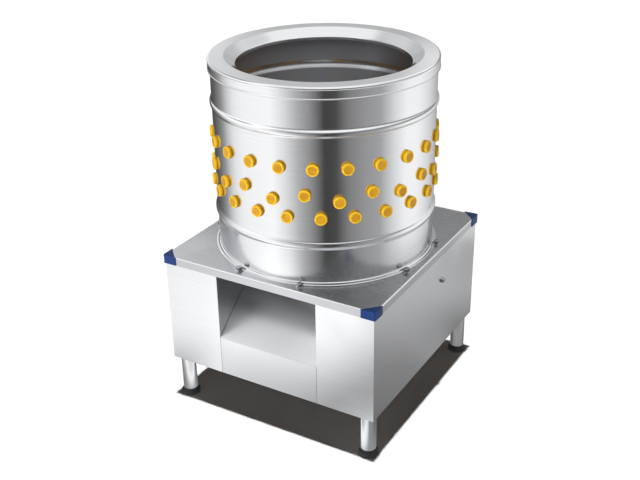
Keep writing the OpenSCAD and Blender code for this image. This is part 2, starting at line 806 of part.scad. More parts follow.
module beam_bolts() {
    color(DARK_STEEL) for (side = [0, 1]) mirror([side, 0, 0]) {
        translate([half_w, beam_bolt_y, beam_bolt_z]) rotate([0, 90, 0])
            hex_bolt(panel_t + beam_t + nut_t + bolt_end);
        translate([in_w - beam_t, beam_bolt_y, beam_bolt_z]) rotate([0, 90, 0]) nut();
    }
}

// Flanged housing bored from both ends for its bearings, with a shoulder between
module spindle_housing() {
    seat = seat_r + press_gap;
    flange_r = housing_flange_d / 2;
    barrel_r = housing_d / 2;
    color(DARK_STEEL) difference() {
        rotate_extrude() polygon([
            [shoulder_r, lower_bearing_z + bearing_w], [seat, lower_bearing_z + bearing_w],
            [seat, housing_z], [barrel_r - housing_chamfer, housing_z],
            [barrel_r, housing_z + housing_chamfer], [barrel_r, beam_z], [flange_r, beam_z],
            [flange_r, beam_z + housing_flange_t - housing_chamfer],
            [flange_r - housing_chamfer, beam_z + housing_flange_t], [seat, beam_z + housing_flange_t],
            [seat, upper_bearing_z], [shoulder_r, upper_bearing_z]]);
        for (a = HOUSING_BOLT_ANGLES) rotate([0, 0, a]) translate([housing_bolt_r, 0, beam_z - cut])
            cylinder(d = bolt_d + bolt_play, h = housing_flange_t + 2 * cut);
    }
}

module spindle_bolts() {
    color(DARK_STEEL) for (a = HOUSING_BOLT_ANGLES) rotate([0, 0, a]) translate([housing_bolt_r, 0, 0]) {
        translate([0, 0, beam_z + housing_flange_t])
            hex_bolt(housing_flange_t + beam_t + nut_t + bolt_end);
        translate([0, 0, beam_z - beam_t]) nut();
    }
}

module bearing_outer_rings() {
    color(STEEL) for (z = [lower_bearing_z, upper_bearing_z]) translate([0, 0, z])
        ring(seat_r, inner_ring_r + slide_fit, bearing_w);
}

module bearing_inner_rings() {
    color(DARK_STEEL) for (z = [lower_bearing_z, upper_bearing_z]) translate([0, 0, z])
        ring(inner_ring_r, shaft_r + press_gap, bearing_w);
}

// Lip seals in both mouths of the housing
module shaft_seals() {
    color(BLACK) {
        translate([0, 0, upper_bearing_z + bearing_w])
            ring(seat_r, shaft_r + slide_fit, beam_z + housing_flange_t - upper_bearing_z - bearing_w);
        translate([0, 0, housing_z]) ring(seat_r, shaft_r + slide_fit, lower_seal_t);
    }
}

module spindle_shaft() {
    thrower_z = beam_z + housing_flange_t + thrower_gap;
    color(STEEL) rotate_extrude() polygon([
        [0, shaft_z], [shaft_r - shaft_chamfer, shaft_z], [shaft_r, shaft_z + shaft_chamfer],
        [shaft_r, thrower_z],
        [thrower_r, thrower_z], [thrower_r, thrower_z + thrower_t - head_chamfer],
        [thrower_r - head_chamfer, thrower_z + thrower_t], [shaft_r, thrower_z + thrower_t],
        [shaft_r, plate_z], [thread_r, plate_z], [thread_r, thread_top - shaft_chamfer],
        [thread_r - shaft_chamfer, thread_top], [0, thread_top]]);
}

// Finger plate

module finger_plate() {
    color(STEEL) difference() {
        rotate_extrude($fn = 128) {
            translate([thread_r + seat_fit, plate_z])
                square([plate_r - thread_r - seat_fit - plate_round, plate_t]);
            translate([plate_r - plate_t, plate_z - plate_edge])
                square([plate_t, plate_edge + plate_t - plate_round]);
            translate([plate_r - plate_round, plate_z + plate_t - plate_round]) intersection() {
                circle(r = plate_round);
                square(plate_round);
            }
        }
        for (p = PLATE_PLACES) rotate([0, 0, p[1]]) translate([p[0], 0, plate_z - cut])
            cylinder(d = finger_hole_d, h = plate_t + 2 * cut, $fn = 32);
        for (a = HUB_BOLT_ANGLES) rotate([0, 0, a]) translate([hub_bolt_r, 0, plate_z - cut])
            cylinder(d = bolt_d + bolt_play, h = plate_t + 2 * cut);
    }
}

// Hub under the plate: a boss on the shaft, and a skirt that keeps water out of the collar
module plate_hub() {
    skirt_top = plate_z - hub_t;
    skirt_low = deck_h + collar_h - hub_skirt_lap;
    color(DARK_STEEL) difference() {
        rotate_extrude() polygon([
            [shaft_r + press_gap, hub_boss_z], [hub_boss_r, hub_boss_z], [hub_boss_r, skirt_top],
            [drip_r - drip_t, skirt_top], [drip_r - drip_t, skirt_low], [drip_r, skirt_low],
            [drip_r, skirt_top], [hub_r, skirt_top], [hub_r, plate_z], [shaft_r + press_gap, plate_z]]);
        for (a = HUB_BOLT_ANGLES) rotate([0, 0, a]) translate([hub_bolt_r, 0, skirt_top - cut])
            cylinder(d = bolt_d + 2 * press_gap, h = hub_t + 2 * cut);
    }
}

module plate_fingers() {
    color(AMBER) for (p = PLATE_PLACES) rotate([0, 0, p[1]]) translate([p[0], 0, plate_z])
        finger(plate_t);
}

// Angled blades under the plate that sweep the feathers to the outlet
module feather_scrapers() {
    outer_r = plate_r - plate_t - slide_fit;
    inner_r = drip_r + scraper_gap;
    low_z = plate_z - scraper_h;
    color(STEEL) for (a = SCRAPER_ANGLES) rotate([0, 0, a]) {
        rotate([90, 0, 0]) translate([0, 0, -scraper_t / 2]) linear_extrude(scraper_t)
            polygon([[inner_r, plate_z], [inner_r, low_z + scraper_nose], [inner_r + scraper_nose, low_z],
                [outer_r - scraper_nose, low_z], [outer_r, low_z + scraper_nose],
                [outer_r, plate_z]]);
        translate([inner_r, scraper_t / 2, plate_z - scraper_t / 2])
            cube([outer_r - inner_r - scraper_nose, scraper_foot, scraper_t / 2]);
    }
}

// Washer, cap nut and the bolts that hold the plate to its hub
module plate_cap_nut() {
    top = plate_z + plate_t;
    color(STEEL) {
        difference() {
            translate([0, 0, top]) rotate_extrude() polygon(concat(
                [[0, 0], [cap_washer_r, 0], [cap_washer_r, cap_washer_t], [cap_nut_r, cap_washer_t]],
                [for (a = [0 : dome_step : 90]) [cap_nut_r * cos(a), cap_nut_h + dome_h * sin(a)]]));
            translate([0, 0, top - cut])
                cylinder(r = thread_r + press_gap, h = thread_len + cut + slide_fit);
        }
        for (a = HUB_BOLT_ANGLES) rotate([0, 0, a]) translate([hub_bolt_r, 0, top])
            hex_bolt(plate_t + hub_t);
    }
}

// Belt drive

// A pulley groove's outline, to be cut from a pulley of a given pitch radius
module groove_outline(pitch_r) {
    top_r = pitch_r + rim_over + cut;
    low_r = pitch_r - groove_r;
    top_half = groove_half + (rim_over + cut - belt_over) * belt_taper;
    low_half = groove_half - (belt_over + groove_r) * belt_taper;
    polygon([[low_r, belt_z - low_half], [top_r, belt_z - top_half],
        [top_r, belt_z + top_half], [low_r, belt_z + low_half]]);
}

module driven_pulley() {
    rim_r = big_pitch_r + rim_over;
    web_r = big_pitch_r - pulley_rim_t;
    half = pulley_w / 2;
    color(DARK_STEEL) difference() {
        rotate_extrude($fn = 96) difference() {
            polygon([[shaft_r + press_gap, belt_z - half], [pulley_hub_r, belt_z - half],
                [pulley_hub_r, belt_z - web_t / 2], [web_r, belt_z - web_t / 2], [web_r, belt_z - half],
                [rim_r, belt_z - half], [rim_r, belt_z + half], [web_r, belt_z + half],
                [web_r, belt_z + web_t / 2], [pulley_hub_r, belt_z + web_t / 2],
                [pulley_hub_r, belt_z + half + hub_over],
                [shaft_r + press_gap, belt_z + half + hub_over]]);
            groove_outline(big_pitch_r);
        }
        for (i = [0 : web_holes - 1]) rotate([0, 0, i * 360 / web_holes])
            translate([(web_r + pulley_hub_r) / 2, 0, belt_z - web_t])
                cylinder(r = web_hole_r, h = 2 * web_t);
    }
}

module motor_pulley() {
    bore_r = motor_shaft_d / 2 + press_gap;
    rim_r = small_pitch_r + rim_over;
    half = pulley_w / 2;
    color(DARK_STEEL) translate([0, motor_y, 0]) rotate_extrude() difference() {
        polygon([[bore_r, belt_z - half], [rim_r, belt_z - half], [rim_r, belt_z + half],
            [small_hub_r, belt_z + half], [small_hub_r, belt_z + half + hub_over],
            [bore_r, belt_z + half + hub_over]]);
        groove_outline(small_pitch_r);
    }
}

// A belt of one piece: its section is swept round both pulleys and along the two runs
module v_belt() {
    lean = asin((big_pitch_r - small_pitch_r) / motor_y);
    big_steps = ceil((180 + 2 * lean) / belt_step);
    small_steps = ceil((180 - 2 * lean) / belt_step / 2);
    top_half = belt_w / 2;
    low_half = top_half - belt_t * belt_taper;
    section = [[belt_over - belt_t, -low_half], [belt_over, -top_half],
        [belt_over, top_half], [belt_over - belt_t, low_half]];
    // Each station is a centre's y, a pitch radius and an angle
    stations = concat(
        [for (i = [0 : big_steps]) [0, big_pitch_r, 180 - lean + i * (180 + 2 * lean) / big_steps]],
        [for (i = [0 : small_steps])
            [motor_y, small_pitch_r, lean + i * (180 - 2 * lean) / small_steps]]);
    count = len(stations);
    points = [for (s = stations, q = section)
        [(s[1] + q[0]) * cos(s[2]), s[0] + (s[1] + q[0]) * sin(s[2]), belt_z + q[1]]];
    faces = [for (i = [0 : count - 1], j = [0 : 3]) let (k = (i + 1) % count, m = (j + 1) % 4)
        [i * 4 + j, i * 4 + m, k * 4 + m, k * 4 + j]];
    color(BLACK) polyhedron(points, faces);
}

// Motor

// Two folded channels across the lower rails
module motor_crossbars() {
    color(STEEL) for (y = [bar_front, bar_back - bar_w]) difference() {
        translate([-bar_half, y, rail_z]) cube([2 * bar_half, bar_w, bar_top - rail_z]);
        translate([-bar_half - cut, y + bar_t, rail_z - cut])
            cube([2 * (bar_half + cut), bar_w - 2 * bar_t, bar_top - rail_z - bar_t + cut]);
        for (side = [-1, 1]) translate([side * plate_bolt_x, y + bar_w / 2, bar_top - bar_t - cut])
            cylinder(d = bolt_d + bolt_play, h = bar_t + 2 * cut);
    }
}

// Motor base, slotted fore and aft so that the belt can be drawn tight
module motor_plate() {
    color(DARK_STEEL) difference() {
        translate([-plate_half_w, bar_front, bar_top])
            cube([2 * plate_half_w, bar_back - bar_front, motor_plate_t]);
        translate([0, motor_y, bar_top - cut]) cylinder(r = pilot_r, h = motor_plate_t + 2 * cut);
        for (a = MOTOR_BOLT_ANGLES) translate([0, motor_y, bar_top - cut]) rotate([0, 0, a])
            translate([motor_bolt_r, 0, 0]) cylinder(d = bolt_d + bolt_play, h = motor_plate_t + 2 * cut);
        for (side = [-1, 1], y = [bar_front + bar_w / 2, bar_back - bar_w / 2])
            translate([side * plate_bolt_x, y, bar_top - cut])
                slot(slot_len, bolt_d + bolt_play, motor_plate_t + 2 * cut);
    }
}

// A round-ended slot along Y
module slot(length, width, height) {
    straight = length - width;
    translate([-width / 2, -straight / 2, 0]) cube([width, straight, height]);
    for (end = [-1, 1]) translate([0, end * straight / 2, 0]) cylinder(d = width, h = height);
}

module motor_bolts() {
    color(STEEL) {
        for (a = MOTOR_BOLT_ANGLES) translate([0, motor_y, bar_top]) rotate([0, 0, a])
            translate([motor_bolt_r, 0, 0]) rotate([180, 0, 0])
                hex_bolt(motor_plate_t + shield_t - cut);
        for (side = [-1, 1], y = [bar_front + bar_w / 2, bar_back - bar_w / 2])
            translate([side * plate_bolt_x, y, 0]) {
                translate([0, 0, motor_z]) hex_bolt(motor_plate_t + bar_t + nut_t + bolt_end);
                translate([0, 0, bar_top - bar_t]) nut();
            }
    }
}

module motor_frame() {
    color(MOTOR_GREY) translate([0, motor_y, frame_z]) linear_extrude(motor_h) difference() {
        union() {
            circle(r = motor_r - fin_h);
            for (i = [0 : fins - 1]) rotate(i * 360 / fins)
                translate([motor_r - fin_h - cut, -fin_t / 2]) square([fin_h + cut, fin_t]);
        }
        circle(r = motor_shaft_d / 2 + slide_fit);
    }
}

module motor_end_shields() {
    bore_r = motor_shaft_d / 2 + slide_fit;
    color(MOTOR_GREY) translate([0, motor_y, 0]) difference() {
        union() {
            translate([0, 0, motor_z]) ring(motor_r, bore_r, shield_t);
            translate([0, 0, frame_top]) ring(motor_r - fin_h, bore_r, shield_t);
        }
        for (a = MOTOR_BOLT_ANGLES) rotate([0, 0, a]) translate([motor_bolt_r, 0, motor_z - cut])
            cylinder(d = bolt_d + bolt_play, h = shield_t + 2 * cut);
    }
}

// Pressed cowl over the fan, with a ring of slots to draw air through
module fan_cowl() {
    outer_r = motor_r - fin_h + cowl_t;
    low_z = frame_top + slide_fit;
    top_z = cowl_z + cowl_h;
    color(MOTOR_GREY) translate([0, motor_y, 0]) difference() {
        translate([0, 0, low_z]) cylinder(r = outer_r, h = top_z - low_z);
        translate([0, 0, low_z - cut])
            cylinder(r = outer_r - cowl_t + press_gap, h = top_z - cowl_t - low_z + cut);
        for (i = [0 : cowl_slots - 1]) rotate([0, 0, i * 360 / cowl_slots])
            translate([cowl_slot_in, -cowl_slot_w / 2, top_z - 2 * cowl_t])
                cube([outer_r - cowl_slot_in - cowl_edge, cowl_slot_w, 3 * cowl_t]);
    }
}

module motor_shaft() {
    r = motor_shaft_d / 2;
    low_z = belt_z - pulley_w / 2 - shaft_end;
    top_z = fan_z + fan_h;
    color(STEEL) translate([0, motor_y, 0]) rotate_extrude() polygon([
        [0, low_z], [r - shaft_chamfer, low_z], [r, low_z + shaft_chamfer],
        [r, top_z - shaft_chamfer], [r - shaft_chamfer, top_z], [0, top_z]]);
}

module cooling_fan() {
    bore_r = motor_shaft_d / 2 + press_gap;
    color(BLACK) translate([0, motor_y, fan_z]) {
        ring(fan_hub_r, bore_r, fan_blade_h);
        ring(fan_r - fan_tip, bore_r, fan_disc_t);
        for (i = [0 : fan_blades - 1]) rotate([0, 0, i * 360 / fan_blades])
            translate([fan_hub_r - cut, -fan_blade_t / 2, 0])
                cube([fan_r - fan_hub_r + cut, fan_blade_t, fan_blade_h]);
    }
}

// Cast box on the motor's side, with its lid and the lid's screws
module terminal_box() {
    x = motor_r - fin_h - box_sink;
    lid_x = x + box_depth + box_lid_t;
    color(MOTOR_GREY) difference() {
        union() {
            translate([x, motor_y - box_w / 2, box_z]) cube([box_depth, box_w, box_h]);
            translate([x + box_depth, motor_y - box_w / 2 - box_lid_over, box_z - box_lid_over])
                cube([box_lid_t, box_w + 2 * box_lid_over, box_h + 2 * box_lid_over]);
            for (sy = [-1, 1], sz = [-1, 1])
                translate([lid_x, motor_y + sy * (box_w / 2 - lid_screw_inset),
                        box_z + box_h / 2 + sz * (box_h / 2 - lid_screw_inset)])
                    rotate([0, 90, 0]) cylinder(r = lid_screw_r, h = lid_screw_t, $fn = 24);
        }
        translate([0, motor_y, box_z - cut - box_lid_over])
            cylinder(r = motor_r + seat_fit, h = box_h + 2 * (cut + box_lid_over));
    }
}

// Switch and cable gland

module switch_body() {
    bezel_y = half_d + bezel_t;
    color(BLACK) difference() {
        union() {
            translate([switch_x, bezel_y, switch_z]) rotate([90, 0, 0]) linear_extrude(bezel_t)
                bezel_outline();
            translate([switch_x - switch_body_w / 2, in_d - switch_depth,
                    switch_z - switch_body_h / 2])
                cube([switch_body_w, switch_depth + panel_t, switch_body_h]);
        }
        for (side = [-1, 1]) translate([switch_x, bezel_y + cut, switch_z + side * button_gap / 2])
            rotate([90, 0, 0]) cylinder(r = button_d / 2 + slide_fit, h = button_pocket + cut);
    }
}

module bezel_outline() {
    for (sx = [-1, 1], sz = [-1, 1])
        translate([sx * (switch_w / 2 - bezel_round), sz * (switch_h / 2 - bezel_round)])
            circle(r = bezel_round);
    square([switch_w, switch_h - 2 * bezel_round], center = true);
    square([switch_w - 2 * bezel_round, switch_h], center = true);
}

// A push button that travels into the switch; side is 1 above and -1 below
module push_button(side) {
    r = button_d / 2;
    face_y = half_d + bezel_t + button_out;
    translate([switch_x, face_y, switch_z + side * button_gap / 2]) rotate([90, 0, 0])
        rotate_extrude() polygon([
            [0, button_dish], [r - 2 * button_rim, button_dish / 2], [r - button_rim, 0],
            [r - button_round, button_round / 2], [r, 2 * button_round], [r, button_len],
            [0, button_len]]);
}

module start_button() {
    color(GREEN) push_button(1);
}

module stop_button() {
    color(RED) push_button(-1);
}

// A low gland: a hex collar outside the panel, a thread through it and a nut inside
module cable_gland() {
    bore_r = cable_d / 2 + cable_play;
    color(BLACK) translate([gland_x, half_d, gland_z]) rotate([90, 0, 0]) difference() {
        union() {
            translate([0, 0, -gland_flange]) hexagon(gland_hex, gland_flange);
            translate([0, 0, -gland_out]) cylinder(r = gland_r, h = gland_out);
            cylinder(r = gland_r, h = gland_len);
            translate([0, 0, panel_t]) hexagon(gland_hex, gland_nut);
        }
        translate([0, 0, -gland_out - cut]) cylinder(r = bore_r, h = gland_len + gland_out + 2 * cut);
    }
}

deck_panel();
front_panel(-1);  // front_panel_left
front_panel(1);  // front_panel_right
side_panel(-1);  // side_panel_left
side_panel(1);  // side_panel_right
rear_panel();
chute_slide();
chute_cheeks();
corner_posts();
top_rails();
bottom_rails();
corner_cap(CORNERS[0]);  // corner_cap_front_left
corner_cap(CORNERS[1]);  // corner_cap_front_right
corner_cap(CORNERS[2]);  // corner_cap_rear_left
corner_cap(CORNERS[3]);  // corner_cap_rear_right
leg(CORNERS[0]);  // leg_front_left
leg(CORNERS[1]);  // leg_front_right
leg(CORNERS[2]);  // leg_rear_left
leg(CORNERS[3]);  // leg_rear_right
drum_shell();
rim_ring();
drum_foot_ring();
drum_bolts();
drum_nuts();
wall_fingers(0);  // wall_fingers_upper
wall_fingers(1);  // wall_fingers_middle
wall_fingers(2);  // wall_fingers_lower
spindle_beam();
beam_bolts();
spindle_housing();
spindle_bolts();
bearing_outer_rings();
shaft_seals();
motor_crossbars();
motor_plate();
motor_frame();
motor_end_shields();
fan_cowl();
terminal_box();
motor_bolts();
v_belt();
switch_body();
cable_gland();
finger_plate();
plate_hub();
spindle_shaft();
plate_fingers();
feather_scrapers();
plate_cap_nut();
driven_pulley();
bearing_inner_rings();
motor_shaft();
motor_pulley();
cooling_fan();
foot(CORNERS[0]);  // foot_front_left
foot(CORNERS[1]);  // foot_front_right
foot(CORNERS[2]);  // foot_rear_left
foot(CORNERS[3]);  // foot_rear_right
start_button();
stop_button();
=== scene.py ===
# %% [markdown]
# # Drum poultry plucker
#
# A drum plucker takes the feathers off scalded birds: rubber fingers stand out of the wall of a
# stainless drum and out of a plate that turns at its bottom, and water carries the feathers
# under the plate, through the deck and down a chute to the front.
#
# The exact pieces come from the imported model. This script dresses them: it sets the camera and
# the studio, gives every surface its real finish, and makes afresh the pieces whose folds,
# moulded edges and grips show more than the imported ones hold.

import json
import math

import bmesh
import bpy
from mathutils import Matrix, Vector

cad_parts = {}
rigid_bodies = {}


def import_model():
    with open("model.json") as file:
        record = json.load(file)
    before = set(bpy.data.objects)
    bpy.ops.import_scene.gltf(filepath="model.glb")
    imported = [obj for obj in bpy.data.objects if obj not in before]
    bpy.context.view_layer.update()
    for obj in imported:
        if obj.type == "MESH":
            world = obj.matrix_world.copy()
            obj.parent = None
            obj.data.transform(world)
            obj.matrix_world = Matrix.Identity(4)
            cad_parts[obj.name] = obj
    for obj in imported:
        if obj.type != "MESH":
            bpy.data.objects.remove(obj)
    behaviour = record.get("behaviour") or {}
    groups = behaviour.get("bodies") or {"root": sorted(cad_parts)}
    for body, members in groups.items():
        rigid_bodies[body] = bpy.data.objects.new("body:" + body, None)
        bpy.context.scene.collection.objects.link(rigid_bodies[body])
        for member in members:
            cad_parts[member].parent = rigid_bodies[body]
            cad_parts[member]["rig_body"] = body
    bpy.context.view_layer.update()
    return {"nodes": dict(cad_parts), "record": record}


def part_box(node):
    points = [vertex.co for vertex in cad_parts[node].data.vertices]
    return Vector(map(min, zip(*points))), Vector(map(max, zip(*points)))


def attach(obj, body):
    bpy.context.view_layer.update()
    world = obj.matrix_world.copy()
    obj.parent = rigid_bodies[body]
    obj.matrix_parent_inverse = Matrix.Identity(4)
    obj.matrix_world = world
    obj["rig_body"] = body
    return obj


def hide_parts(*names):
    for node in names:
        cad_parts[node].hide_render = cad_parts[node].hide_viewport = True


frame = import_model()
nodes = frame["nodes"]

# %% [markdown]
# ## The camera
#
# The picture was taken from the front right and a little above, with a lens of about 56 mm on a
# full frame. The camera turns round a point near the middle of the machine: first by its
# azimuth from the front, then up by its elevation, and last by the small roll of the picture.
# Three turns of one matrix do that, in the order in which a tripod is set up.

# %% Place the camera
MM = 0.001
AZIMUTH = math.radians(30.7261)
ELEVATION = math.radians(26.3433)
ROLL = math.radians(-0.944)
DISTANCE = 2730.386 * MM
TARGET = Vector((-56.18, 62.523, 361.776)) * MM
LENS = 56.4476
SENSOR_WIDTH = 36


def place_camera():
    camera = bpy.data.objects.new("camera", bpy.data.cameras.new("camera"))
    camera.data.lens = LENS
    camera.data.sensor_width = SENSOR_WIDTH
    turn = (
        Matrix.Rotation(AZIMUTH, 3, "Z")
        @ Matrix.Rotation(math.pi / 2 - ELEVATION, 3, "X")
        @ Matrix.Rotation(ROLL, 3, "Z")
    )
    back = turn @ Vector((0, 0, 1))
    camera.matrix_world = Matrix.Translation(TARGET + DISTANCE * back) @ turn.to_4x4()
    bpy.context.scene.collection.objects.link(camera)
    bpy.context.scene.camera = camera
    return camera


camera = place_camera()
print("camera at", [round(v, 3) for v in camera.matrix_world.translation])

# %% [markdown]
# ## Small helpers for materials
#
# A material is a handful of shader nodes. One function adds a node, sets its settings and its
# sockets, and joins the sockets that are fed by another node. A colour is written as on a paint
# card, in hexadecimal, and turned into the linear light that the renderer reckons with.


# %% Colours and nodes
def linear(hex_colour, strength=1.0):
    channels = [int(hex_colour[i : i + 2], 16) / 255 for i in (1, 3, 5)]
    light = [c / 12.92 if c <= 0.04045 else ((c + 0.055) / 1.055) ** 2.4 for c in channels]
    return (*[strength * c for c in light], 1.0)


def add_node(tree, kind, settings=None, **sockets):
    """Adds a node. A socket is named, or is i and its number where names repeat."""
    node = tree.nodes.new("ShaderNode" + kind)
    for key, value in (settings or {}).items():
        setattr(node, key, value)
    for key, value in sockets.items():
        spot = int(key[1:]) if key[0] == "i" and key[1:].isdigit() else key.replace("_", " ")
        if isinstance(value, bpy.types.NodeSocket):
            tree.links.new(value, node.inputs[spot])
        else:
            node.inputs[spot].default_value = value
    return node


def new_material(name):
    material = bpy.data.materials.new(name)
    material.use_nodes = True
    material.node_tree.nodes.clear()
    return material, material.node_tree


def finish_material(material, tree, **sockets):
    shader = add_node(tree, "BsdfPrincipled", **sockets)
    output = add_node(tree, "OutputMaterial")
    tree.links.new(shader.outputs["BSDF"], output.inputs["Surface"])
    return material


print("middle grey as light:", round(linear("#808080")[0], 3))

# %% [markdown]
# Every pattern here is noise in the piece's own place, so it stays put when the piece moves.
# Its scale comes from real sizes: how far apart its marks lie along each axis. Most of a noise
# lies between 0.3 and 0.7, and a Map Range node stretches that over the values that are wanted.

# %% Noise from real sizes
NOISE_LOW = 0.3
NOISE_HIGH = 0.7
COLOURS = {"data_type": "RGBA"}


def apart(x_mm, y_mm, z_mm):
    """The noise's scale for marks that lie this far apart along X, Y and Z."""
    return tuple(1 / (gap * MM) for gap in (x_mm, y_mm, z_mm))


def stretched_noise(tree, scale, detail=3.0, roughness=0.55):
    place = add_node(tree, "TexCoord").outputs["Object"]
    mapped = add_node(tree, "Mapping", Vector=place, Scale=scale).outputs["Vector"]
    return add_node(
        tree, "TexNoise", Vector=mapped, Scale=1.0, Detail=detail, Roughness=roughness
    ).outputs["Fac"]


def reach(low, high):
    """What a Map Range needs to turn a noise into values from low to high."""
    return {"From_Min": NOISE_LOW, "From_Max": NOISE_HIGH, "To_Min": low, "To_Max": high}


print("marks 2 mm apart:", apart(2, 2, 2)[0], "to the metre")

# %% [markdown]
# ## Stainless steel
#
# Everything that meets water is stainless sheet. The mill rolls it smooth, and a belt then
# brushes fine lines into it, all in one direction, or a lathe turns them round a piece. Two
# noises make that here. One is stretched along the lines and varies the tone, the roughness and
# the relief together. The other is broad and faint, in the roughness alone, and stands for
# wiping and washing. A photograph of steel would do less: it blurs close by and brings its own
# light.
#
# A real line is a few hundredths of a millimetre wide. That is too fine to show, so the lines are
# drawn about a millimetre apart.

# %% Directions of the lines
BRUSH_GAP = 1.111
BRUSH_LENGTH = 166.7
TURNED_GAP = 0.909
TURNED_LENGTH = 200
ALONG_X = apart(BRUSH_LENGTH, BRUSH_GAP, BRUSH_GAP)
ALONG_Z = apart(BRUSH_GAP, BRUSH_GAP, BRUSH_LENGTH)
ROUND_Z = apart(TURNED_LENGTH, TURNED_LENGTH, TURNED_GAP)
TUMBLED = apart(2, 2, 2)
GROUND_ROUND = apart(25, 25, 0.4)
CLOUDS = apart(142.9, 142.9, 142.9)
print("lines to the metre across the brushing:", round(ALONG_X[1]))

# %% [markdown]
# Steel that was rolled and polished round the drum stretches each light up and down, across its
# lines. The shader calls that anisotropy, and it needs to know the way across the lines: at
# right angles both to the surface and to the turning.
#
# Two values in a mesh's points change the steel from place to place. One of them, where it is 1,
# gives a fold a brighter tone: a painted highlight that draws it as a white line. The other, where
# it is 1, gives the steel a darker tone, which is painted shade, and a rougher surface. Between 0
# and 1 each is given in part.

# %% Brushed steel
LINE_TONES = (0.96, 1.03)
LINE_ROUGHER = 0.03
SKIN_ROUGHER = 0.32


def across_the_turning(tree):
    """The way across lines that run round the Z axis, on a surface that faces out or up."""
    place = add_node(tree, "TexCoord").outputs["Object"]
    cross = {"operation": "CROSS_PRODUCT"}
    along = add_node(tree, "VectorMath", cross, i0=(0, 0, 1), i1=place).outputs["Vector"]
    facing = add_node(tree, "NewGeometry").outputs["Normal"]
    return add_node(tree, "VectorMath", cross, i0=facing, i1=along).outputs["Vector"]


def brushed_steel(
    name, tone, roughness, lines, cloud=0.05, groove_mm=0.006, shade_tone=None, fold_highlight=None, stretch=0.0
):
    """Brushed steel, with a darker tone of painted shade and a brighter tone of painted highlight,
    if it has them.

    stretch is how far lines that run round the Z axis draw a light out across themselves.
    """
    material, tree = new_material(name)
    brushing = stretched_noise(tree, lines, detail=4.0)
    clouds = stretched_noise(tree, CLOUDS, detail=2.0)
    dark, light = [linear(tone, share) for share in LINE_TONES]
    mixed = add_node(tree, "MapRange", Value=brushing, **reach(0, 1)).outputs["Result"]
    colour = add_node(tree, "Mix", COLOURS, Factor=mixed, i6=dark, i7=light).outputs[2]
    # A brighter tone on the marked folds: a painted highlight.
    if fold_highlight:
        highlight_share = add_node(tree, "Attribute", {"attribute_name": "rubbed"}).outputs["Fac"]
        colour = add_node(
            tree, "Mix", COLOURS, Factor=highlight_share, i6=colour, i7=linear(fold_highlight)
        ).outputs[2]
    span = reach(roughness - LINE_ROUGHER, roughness + LINE_ROUGHER)
    fine = add_node(tree, "MapRange", Value=brushing, **span).outputs["Result"]
    broad = add_node(tree, "MapRange", Value=clouds, **reach(-cloud, cloud)).outputs["Result"]
    rough = add_node(tree, "Math", {"operation": "ADD"}, i0=fine, i1=broad).outputs["Value"]
    # A darker tone where marked: painted shade, with a rougher surface as well.
    if shade_tone:
        shade_and_dull = add_node(tree, "Attribute", {"attribute_name": "shade_and_dull"}).outputs["Fac"]
        colour = add_node(
            tree, "Mix", COLOURS, Factor=shade_and_dull, i6=colour, i7=linear(shade_tone)
        ).outputs[2]
        rough = add_node(
            tree, "Math", {"operation": "MULTIPLY_ADD"}, i0=shade_and_dull, i1=SKIN_ROUGHER, i2=rough
        ).outputs["Value"]
    relief = add_node(tree, "Bump", Height=brushing, Distance=groove_mm * MM, Strength=1.0)
    turning = (
        {"Anisotropic": stretch, "Tangent": across_the_turning(tree)} if stretch else {}
    )
    return finish_material(
        material,
        tree,
        Base_Color=colour,
        Metallic=1.0,
        Roughness=rough,
        Normal=relief.outputs["Normal"],
        **turning,
    )


STEELS = {
    # Belt-brushed sheet of the panels: soft and bright, with faint fine lines.
    "brushed_stainless": dict(tone="#E9EAEC", roughness=0.21, lines=ALONG_X, groove_mm=0.002),
    # The chute's finer brushing: softer still, and where marked darker and rougher: painted shade.
    "satin_stainless": dict(
        tone="#E6E7E9", roughness=0.26, lines=ALONG_X, groove_mm=0.001, shade_tone="#85888D"
    ),
    # The deck's sheet as the mill rolls it: greyer, with folds painted white as a highlight.
    "mill_stainless": dict(
        tone="#C6C8CB", roughness=0.26, lines=ALONG_X, groove_mm=0.001, fold_highlight="#F4F5F6"
    ),
    # Drawn tube, polished on a wheel: sharp light and dark stripes down each leg.
    "polished_stainless": dict(
        tone="#EDEEF0", roughness=0.11, lines=ROUND_Z, cloud=0.02, groove_mm=0.002
    ),
    # The drum and its rim, rolled and polished round: tall soft bands of light. Inside the drum a
    # darker, rougher tone is painted shade.
    "rolled_stainless": dict(
        tone="#EDEEF0",
        roughness=0.16,
        lines=ROUND_Z,
        cloud=0.02,
        groove_mm=0.001,
        shade_tone="#A9ACB2",
        stretch=0.9,
    ),
    # Hidden angles and rails, hardly brushed: flat and grey.
    "stainless_frame": dict(tone="#C9CBCE", roughness=0.38, lines=ALONG_Z),
    # Bolts and washers, tumbled in a barrel: small sharp glints.
    "stainless_fasteners": dict(tone="#AEB0B3", roughness=0.11, lines=TUMBLED, cloud=0.03),
    # Shafts, ground on centres: a fine ring pattern.
    "ground_steel": dict(tone="#BFC2C6", roughness=0.22, lines=GROUND_ROUND),
}
finishes = {name: brushed_steel(name, **look) for name, look in STEELS.items()}
print("steel finishes:", ", ".join(finishes))

# %% [markdown]
# ## Rubber, plastic, iron and paint
#
# Rubber and plastic take the grain of their mould, and cast iron takes that of the sand. All of
# them are one idea: two near tones that mix slowly, and a fine grain in the relief and the
# roughness. The grain's width is given in millimetres. A picture wrapped round each piece could
# do the same, but it would show a seam on round ones, and noise has none.

# %% Moulded and cast finishes
TONE_DRIFT = apart(35.71, 35.71, 35.71)
GRAIN_ROUGHER = 0.06


